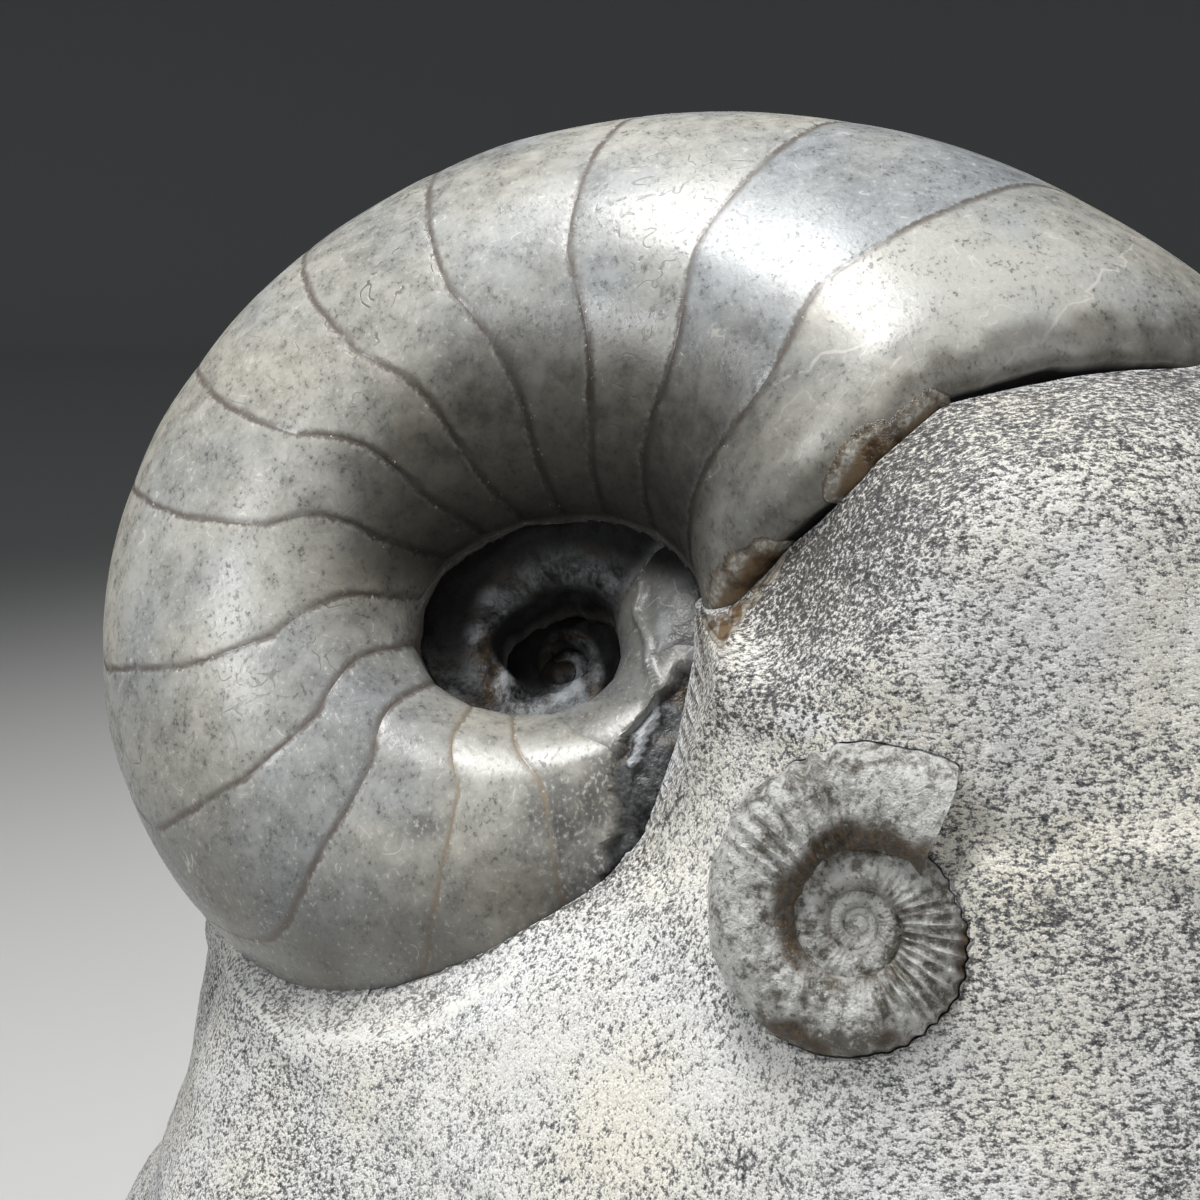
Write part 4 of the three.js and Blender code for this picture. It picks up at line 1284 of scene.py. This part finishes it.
def calcite(f, cloudy, grainy):
    """How fully brown calcite shows, and its colour, from a cloudy and a grainy noise."""
    amber = f.mark("amber")
    shows = f.band(f.plus(amber, f.beyond(f.plus(cloudy, grainy), 1.0, 0.4)), 0.32, 0.50)
    umber = f.mix(f.band(cloudy, 0.36, 0.58), DARK_CALCITE, BROWN_CALCITE)
    middle = f.times(f.band(amber, 0.35, 0.6), f.band(amber, 1.0, 0.8))
    pale = f.times(f.band(cloudy, 0.42, 0.54, (0.25, 0.9)), middle)
    return shows, f.mix(pale, umber, f.mix(f.band(grainy, 0.4, 0.55), WHITE_CALCITE, GREY_CALCITE))


def shell_ground(f, mid, fine):
    """The chamber's own colour, clouded, with dark and pale flecks."""
    colour = f.mix(f.band(f.mark("warm"), 0, 1), COOL_SHELL, WARM_SHELL)
    tone = f.plus(f.mark("light"), f.beyond(mid, 0.5))
    colour = f.mix(1.0, colour, f.band(tone, 0, 1, (0.60, 1.45)), "MULTIPLY")
    dashes = f.times(f.band(fine, 0.53, 0.66), f.band(mid, 0.58, 0.38, (0.15, 0.8)))
    colour = f.mix(dashes, colour, DARK_FLECK)
    return f.mix(f.band(fine, 0.42, 0.30, (0, 0.4)), colour, PALE_FLECK)


def shell_veins(f, mid, lines):
    """How strongly pale veins show: hair veins along one level of a noise, and the listed ones."""
    hair = f.times(f.band(f.away(lines, 0.4), 0.010, 0.003), f.band(mid, 0.53, 0.60))
    off = f.away(f.plus(f.mark("vein"), f.beyond(lines, 0.5, 3.0)))
    return f.calc("MAXIMUM", hair, f.times(f.band(off, 0.16, 0.05), f.band(mid, 0.38, 0.5)))


def with_sutures(f, colour, mid, fine):
    """The colour with soft brown suture lines on it, which wander a little, and pale crumbs beside them."""
    phase, brown_and_shade = f.mark("phase"), f.mark("brown_and_shade")
    off = f.times(f.calc("SUBTRACT", phase, f.calc("ROUND", phase)), f.mark("pace"))
    wander = f.beyond(f.plus(mid, f.times(fine, 0.9)), 0.95, 0.9)
    off = f.times(f.plus(off, wander), f.band(phase, -1.4, -1.6, (1, 1.7)))
    line = f.times(f.band(off, -0.45, -0.05), f.band(off, 0.85, 0.15), f.band(mid, 0.34, 0.56, (0.35, 0.9)))
    line_colour = f.mix(f.band(phase, -1.4, -1.6), SUTURE, OLD_SUTURE)
    line_colour = f.mix(brown_and_shade, line_colour, SUTURE_ON_BROWN)
    colour = f.mix(f.times(line, f.band(phase, -4.2, -3.3)), colour, line_colour)
    rim = f.times(f.band(off, -0.85, -0.5), f.band(off, -0.30, -0.45), f.band(fine, 0.55, 0.42))
    crumbs = f.times(f.band(f.away(off), 1.6, 0.5), f.band(fine, 0.36, 0.31), f.band(mid, 0.52, 0.60))
    return f.mix(f.times(f.calc("MAXIMUM", f.times(rim, 0.1), crumbs), 0.8), colour, CRUMB)


def bare_shell(f, streak, mid, fine, lines):
    """Dark rough shell, rusty in places, with painted highlights where it would catch the light."""
    blend = f.plus(f.times(streak, 0.3), f.times(mid, 0.42), f.times(fine, 0.28))
    # painted highlight: a bluish pale mix where the rough shell would catch the light
    painted_highlight = f.band(f.plus(f.mark("painted_highlight"), f.beyond(blend, 0.5, 2.2)), 0.15, 0.9)
    dark = f.mix(f.band(blend, 0.40, 0.60), BLACK_SHELL, GREY_SHELL)
    dark = f.mix(f.times(f.band(lines, 0.50, 0.62), 0.75), dark, RUST)
    return f.mix(f.times(painted_highlight, 0.85), dark, PAINTED_SHELL_HIGHLIGHT)


def polished_shell_finish():
    """Polished grey and beige shell, flecked and scratched, with brown sutures and rough bare places,
    painted highlights on the bare places and painted shade in the umbilicus.
    """
    f = Finish("polished_shell")
    bare, painted_shade = f.mark("bare"), f.mark("painted_shade")
    mid = f.noise(2.4, 4, 0.62)
    fine = f.noise(0.42, 3, 0.62, at=f.stretched((1, 0.62, 0.8), (20, 30, 0)))
    lines = f.noise(4.6, 2, 0.5, 0.5)
    ribbing = f.node("CombineXYZ", {0: f.times(f.mark("phase"), 4.5), 1: f.times(f.mark("across"), 9)})
    streak = f.noise(1.0, 4, 0.70, at=ribbing.outputs[0])

    colour = shell_ground(f, mid, fine)
    cracks = f.times(f.band(f.away(lines, 0.5), 0.017, 0.005), f.band(mid, 0.47, 0.56))
    cracks = f.times(cracks, f.band(f.mark("crackle"), -0.1, 0.5))
    colour = f.mix(f.times(cracks, 0.75), colour, CRACK)
    colour = f.mix(f.times(shell_veins(f, mid, lines), 0.6), colour, VEIN)
    colour = f.mix(f.times(f.mark("smudge"), f.band(fine, 0.35, 0.5), 0.8), colour, SMUDGE)
    # brown patina on the umbilical wall, made stronger as painted shade where the wall lies in the shade
    umber = f.mix(f.band(mid, 0.3, 0.7), DARK_UMBER, LIGHT_UMBER)
    colour = f.mix(f.times(f.mark("brown_and_shade"), 0.85), colour, umber)
    colour = with_sutures(f, colour, mid, fine)
    colour = f.mix(bare, colour, bare_shell(f, streak, mid, fine, lines))
    # painted shade: the umbilicus, its hole and the broken end painted nearly black
    colour = f.mix(painted_shade, colour, DEEP_SHADE)
    amber, umber = calcite(f, mid, fine)
    colour = f.mix(amber, colour, umber)

    rough_relief = f.times(bare, f.plus(f.times(streak, 0.13), f.times(mid, 0.6)))
    height = f.plus(f.times(fine, 0.022), f.times(cracks, -0.03), rough_relief, f.times(amber, mid, 0.6))
    dull = f.plus(f.times(f.band(fine, 0.5, 0.7), 0.15), f.times(bare, 0.12), f.times(painted_shade, 0.5))
    rough = f.plus(f.band(mid, 0.3, 0.7, (0.24, 0.36)), dull)
    coat = f.band(bare, 0.4, 0.0, (0, 0.07))
    return f.finish(colour, rough, height, Coat_Weight=coat, Coat_Roughness=0.2)


def limestone_finish():
    """Cream limestone, densely speckled with grey grains.

    It is whiter where it is bruised, painted dark with shadow in the crevices and under the shell's edge,
    and brown and glossy at the calcite.
    """
    f = Finish("limestone")
    cloud, worked = f.mark("cloud"), f.mark("worked")
    level = f.noise(0.36, 3, 0.70, at=f.stretched((0.58, 1, 1.0), (0, 10, 0)))
    upright = f.noise(0.36, 3, 0.70, at=f.stretched((1.0, 1, 0.6), (0, -12, 0)))
    grains = f.node("Mix", {0: f.mark("upright"), 2: level, 3: upright}, data_type="FLOAT").outputs[0]
    coarse = f.noise(1.9, 3, 0.65)
    sand = f.noise(0.17, 2, 0.6)
    shade = f.plus(f.times(grains, 0.66), f.times(coarse, 0.16), f.times(sand, 0.18))
    # clouds, and the painted shadow under the shell, give more and darker grains
    shade = f.plus(shade, f.times(cloud, -0.045))

    pale = f.mix(f.band(f.mark("cream"), 0, 1), WHITE_STONE, CREAM_STONE)
    grey = f.mix(f.band(cloud, -0.4, 0.8), GREY_GRAIN, DARK_GRAIN)
    colour = f.mix(f.band(shade, 0.43, 0.53), grey, pale)
    colour = f.mix(f.band(shade, 0.42, 0.36), colour, BLACK_GRAIN)
    colour = f.mix(1.0, colour, f.band(sand, 0.3, 0.7, (0.8, 1.18)), "MULTIPLY")
    bruised = f.times(f.band(f.mark("white"), 0.1, 0.7), f.band(grains, 0.45, 0.55))
    colour = f.mix(bruised, colour, BRUISE)
    # a grey cast where the clouds and the painted shadow under the shell are strong
    colour = f.mix(f.times(f.band(cloud, 0.3, 1.0), 0.15), colour, STONE_CLOUD)

    past = f.plus(f.mark("past_ridge"), f.beyond(coarse, 0.5))
    ledge = f.times(f.band(past, 0.2, -0.6), worked, 0.15)
    crest = f.times(f.band(past, -0.45, -0.1), f.band(past, 0.4, 0.1), f.band(grains, 0.36, 0.48), 0.9)
    # painted shadow in the crevices, on the steep wall and under the shell's edge
    shadow = f.times(f.mark("shadow"), f.band(grains, 0.68, 0.40), 0.8)
    for share, tint in ((ledge, LEDGE), (crest, LEDGE_CREST), (shadow, STONE_SHADOW)):
        colour = f.mix(share, colour, tint)
    amber, umber = calcite(f, coarse, grains)
    colour = f.mix(amber, colour, umber)

    grain_height, lump_height = f.band(worked, 0, 1, (0.55, 0.20)), f.band(worked, 0, 1, (1.2, 0.25))
    height = f.plus(f.times(grains, grain_height), f.times(coarse, lump_height))
    rough = f.mix(amber, (0.9, 0.9, 0.9), (0.3, 0.3, 0.3))
    return f.finish(colour, rough, height, Specular_IOR_Level=0.3)


def rough_shell_finish():
    """Grey weathered shell with a slight gloss, brown in the seam and along the lower rim."""
    f = Finish("rough_shell")
    mid = f.noise(1.5, 4, 0.66)
    fine = f.noise(0.55, 4, 0.72)
    pale = f.band(f.plus(mid, f.times(f.mark("pale"), 0.12)), 0.37, 0.60)
    colour = f.mix(pale, DULL_RIBS, PALE_RIBS)
    colour = f.mix(f.band(fine, 0.52, 0.66, (0, 0.75)), colour, DARK_SPECK)
    colour = f.mix(f.band(fine, 0.45, 0.32, (0, 0.6)), colour, PALE_SPECK)
    colour = f.mix(f.times(f.band(f.mark("rib"), 0.5, 0.9), 0.3), colour, RIB_CREST)
    ochre = f.mix(f.band(fine, 0.40, 0.66), DARK_OCHRE, OCHRE)
    groove = f.times(f.mark("groove"), f.band(mid, 0.30, 0.46), 0.9)
    stain = f.times(f.mark("stain"), f.band(mid, 0.30, 0.58, (0.2, 1.4)))
    colour = f.mix(groove, colour, ochre)
    colour = f.mix(f.band(stain, 0.15, 0.8, (0, 0.92)), colour, ochre)
    height = f.plus(f.times(mid, 0.5), f.times(fine, 0.16))
    return f.finish(colour, f.band(mid, 0.3, 0.7, (0.22, 0.45)), height)


def studio_finish():
    """Plain pale floor paint."""
    return Finish("studio_paint").finish(STUDIO_GREY, 0.85)


# ---------------------------------------------------------------- pieces in the frame

PIECES = (
    (nautilus_shell, "nautilus", "polished_shell", polished_shell_finish),
    (stone_block, "matrix", "limestone", limestone_finish),
    (small_ammonite, "ammonite", "rough_shell", rough_shell_finish),
)
for make, node, slot, finish in PIECES:
    piece = make()
    piece.data.materials.clear()
    piece.data.materials.append(finish())
    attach(piece, "root")
    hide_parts(node)
    print(piece.name, len(piece.data.polygons), "faces")

# ---------------------------------------------------------------- studio

FLOOR_REACH = 1.6  # metres
FLOOR_HALF_WIDTH = 2.4
WALL_TOP = 2.2
COVE_RADIUS = 0.5
CAMERA_AT = (0, -155.2, 101.3)  # millimetres of the drawing
CAMERA_TILT = 78
LENS = 48
SENSOR = 36
ROOM_COLOUR, ROOM_STRENGTH = (0.9, 0.95, 1.0), 0.07
LIGHT_SPREAD = 60  # degrees

# Soft boxes: name, direction from the nautilus, distance and size in metres, power, colour.
LIGHTS = [
    ("overhead", (-0.20, -0.02, 0.97), 0.55, (0.30, 0.18), 0.40, (1, 0.995, 0.985)),
    ("window", (-0.72, -0.45, 0.52), 0.6, (0.12, 0.17), 0.11, (0.96, 0.98, 1)),
    ("fill", (0.50, -0.72, 0.42), 0.9, (0.5, 0.4), 0.19, (1, 0.99, 0.97)),
]


def studio_floor():
    """A floor that curves up into a wall behind the object: a straight run, a quarter round and a rise."""
    bend = np.linspace(0, np.pi / 2, 24)
    bent = FLOOR_REACH + COVE_RADIUS * np.sin(bend)
    back = np.concatenate([[-FLOOR_REACH], bent, bent[-1:]])
    up = np.concatenate([[0], COVE_RADIUS * (1 - np.cos(bend)), [WALL_TOP]])
    side = np.array([-FLOOR_HALF_WIDTH, FLOOR_HALF_WIDTH])
    points = np.stack(np.broadcast_arrays(side[None, :], back[:, None], up[:, None]), -1)
    index = np.arange(points.size // 3).reshape(len(back), 2)
    faces = np.stack([index[:-1, 0], index[:-1, 1], index[1:, 1], index[1:, 0]], -1)
    mesh = bpy.data.meshes.new("studio_floor")
    mesh.from_pydata(points.reshape(-1, 3).tolist(), [], faces.tolist())
    mesh.shade_smooth()
    mesh.materials.append(studio_finish())
    placed("studio_floor", mesh)


def soft_light(name, towards, distance, size, power, colour):
    """A soft box aimed at the middle of the nautilus, from a direction and distance in metres."""
    light = bpy.data.lights.new(name, "AREA")
    light.shape = "RECTANGLE"
    light.size, light.size_y = size
    light.energy = power
    light.spread = np.radians(LIGHT_SPREAD)
    light.color = colour
    target = Vector(in_frame(np.array(NAUTILUS.centre)))
    direction = Vector(towards).normalized()
    turned = direction.to_track_quat("Z", "Y").to_matrix().to_4x4()
    placed(name, light).matrix_world = Matrix.Translation(target + distance * direction) @ turned


def camera():
    """The eye stands before the block, a little above it, and looks slightly down."""
    data = bpy.data.cameras.new("camera")
    data.lens = LENS
    data.sensor_width = SENSOR
    holder = placed("camera", data)
    holder.location = in_frame(np.array(CAMERA_AT))
    holder.rotation_euler = (np.radians(CAMERA_TILT), 0, 0)
    bpy.context.scene.camera = holder


def room_light(colour, strength):
    """Even light from all round."""
    world = bpy.data.worlds.new("room")
    world.use_nodes = True
    background = world.node_tree.nodes["Background"]
    background.inputs["Color"].default_value = (*colour, 1)
    background.inputs["Strength"].default_value = strength
    bpy.context.scene.world = world


studio_floor()
for light in LIGHTS:
    soft_light(*light)
room_light(ROOM_COLOUR, ROOM_STRENGTH)
camera()
bpy.context.scene.view_settings.view_transform = "Standard"
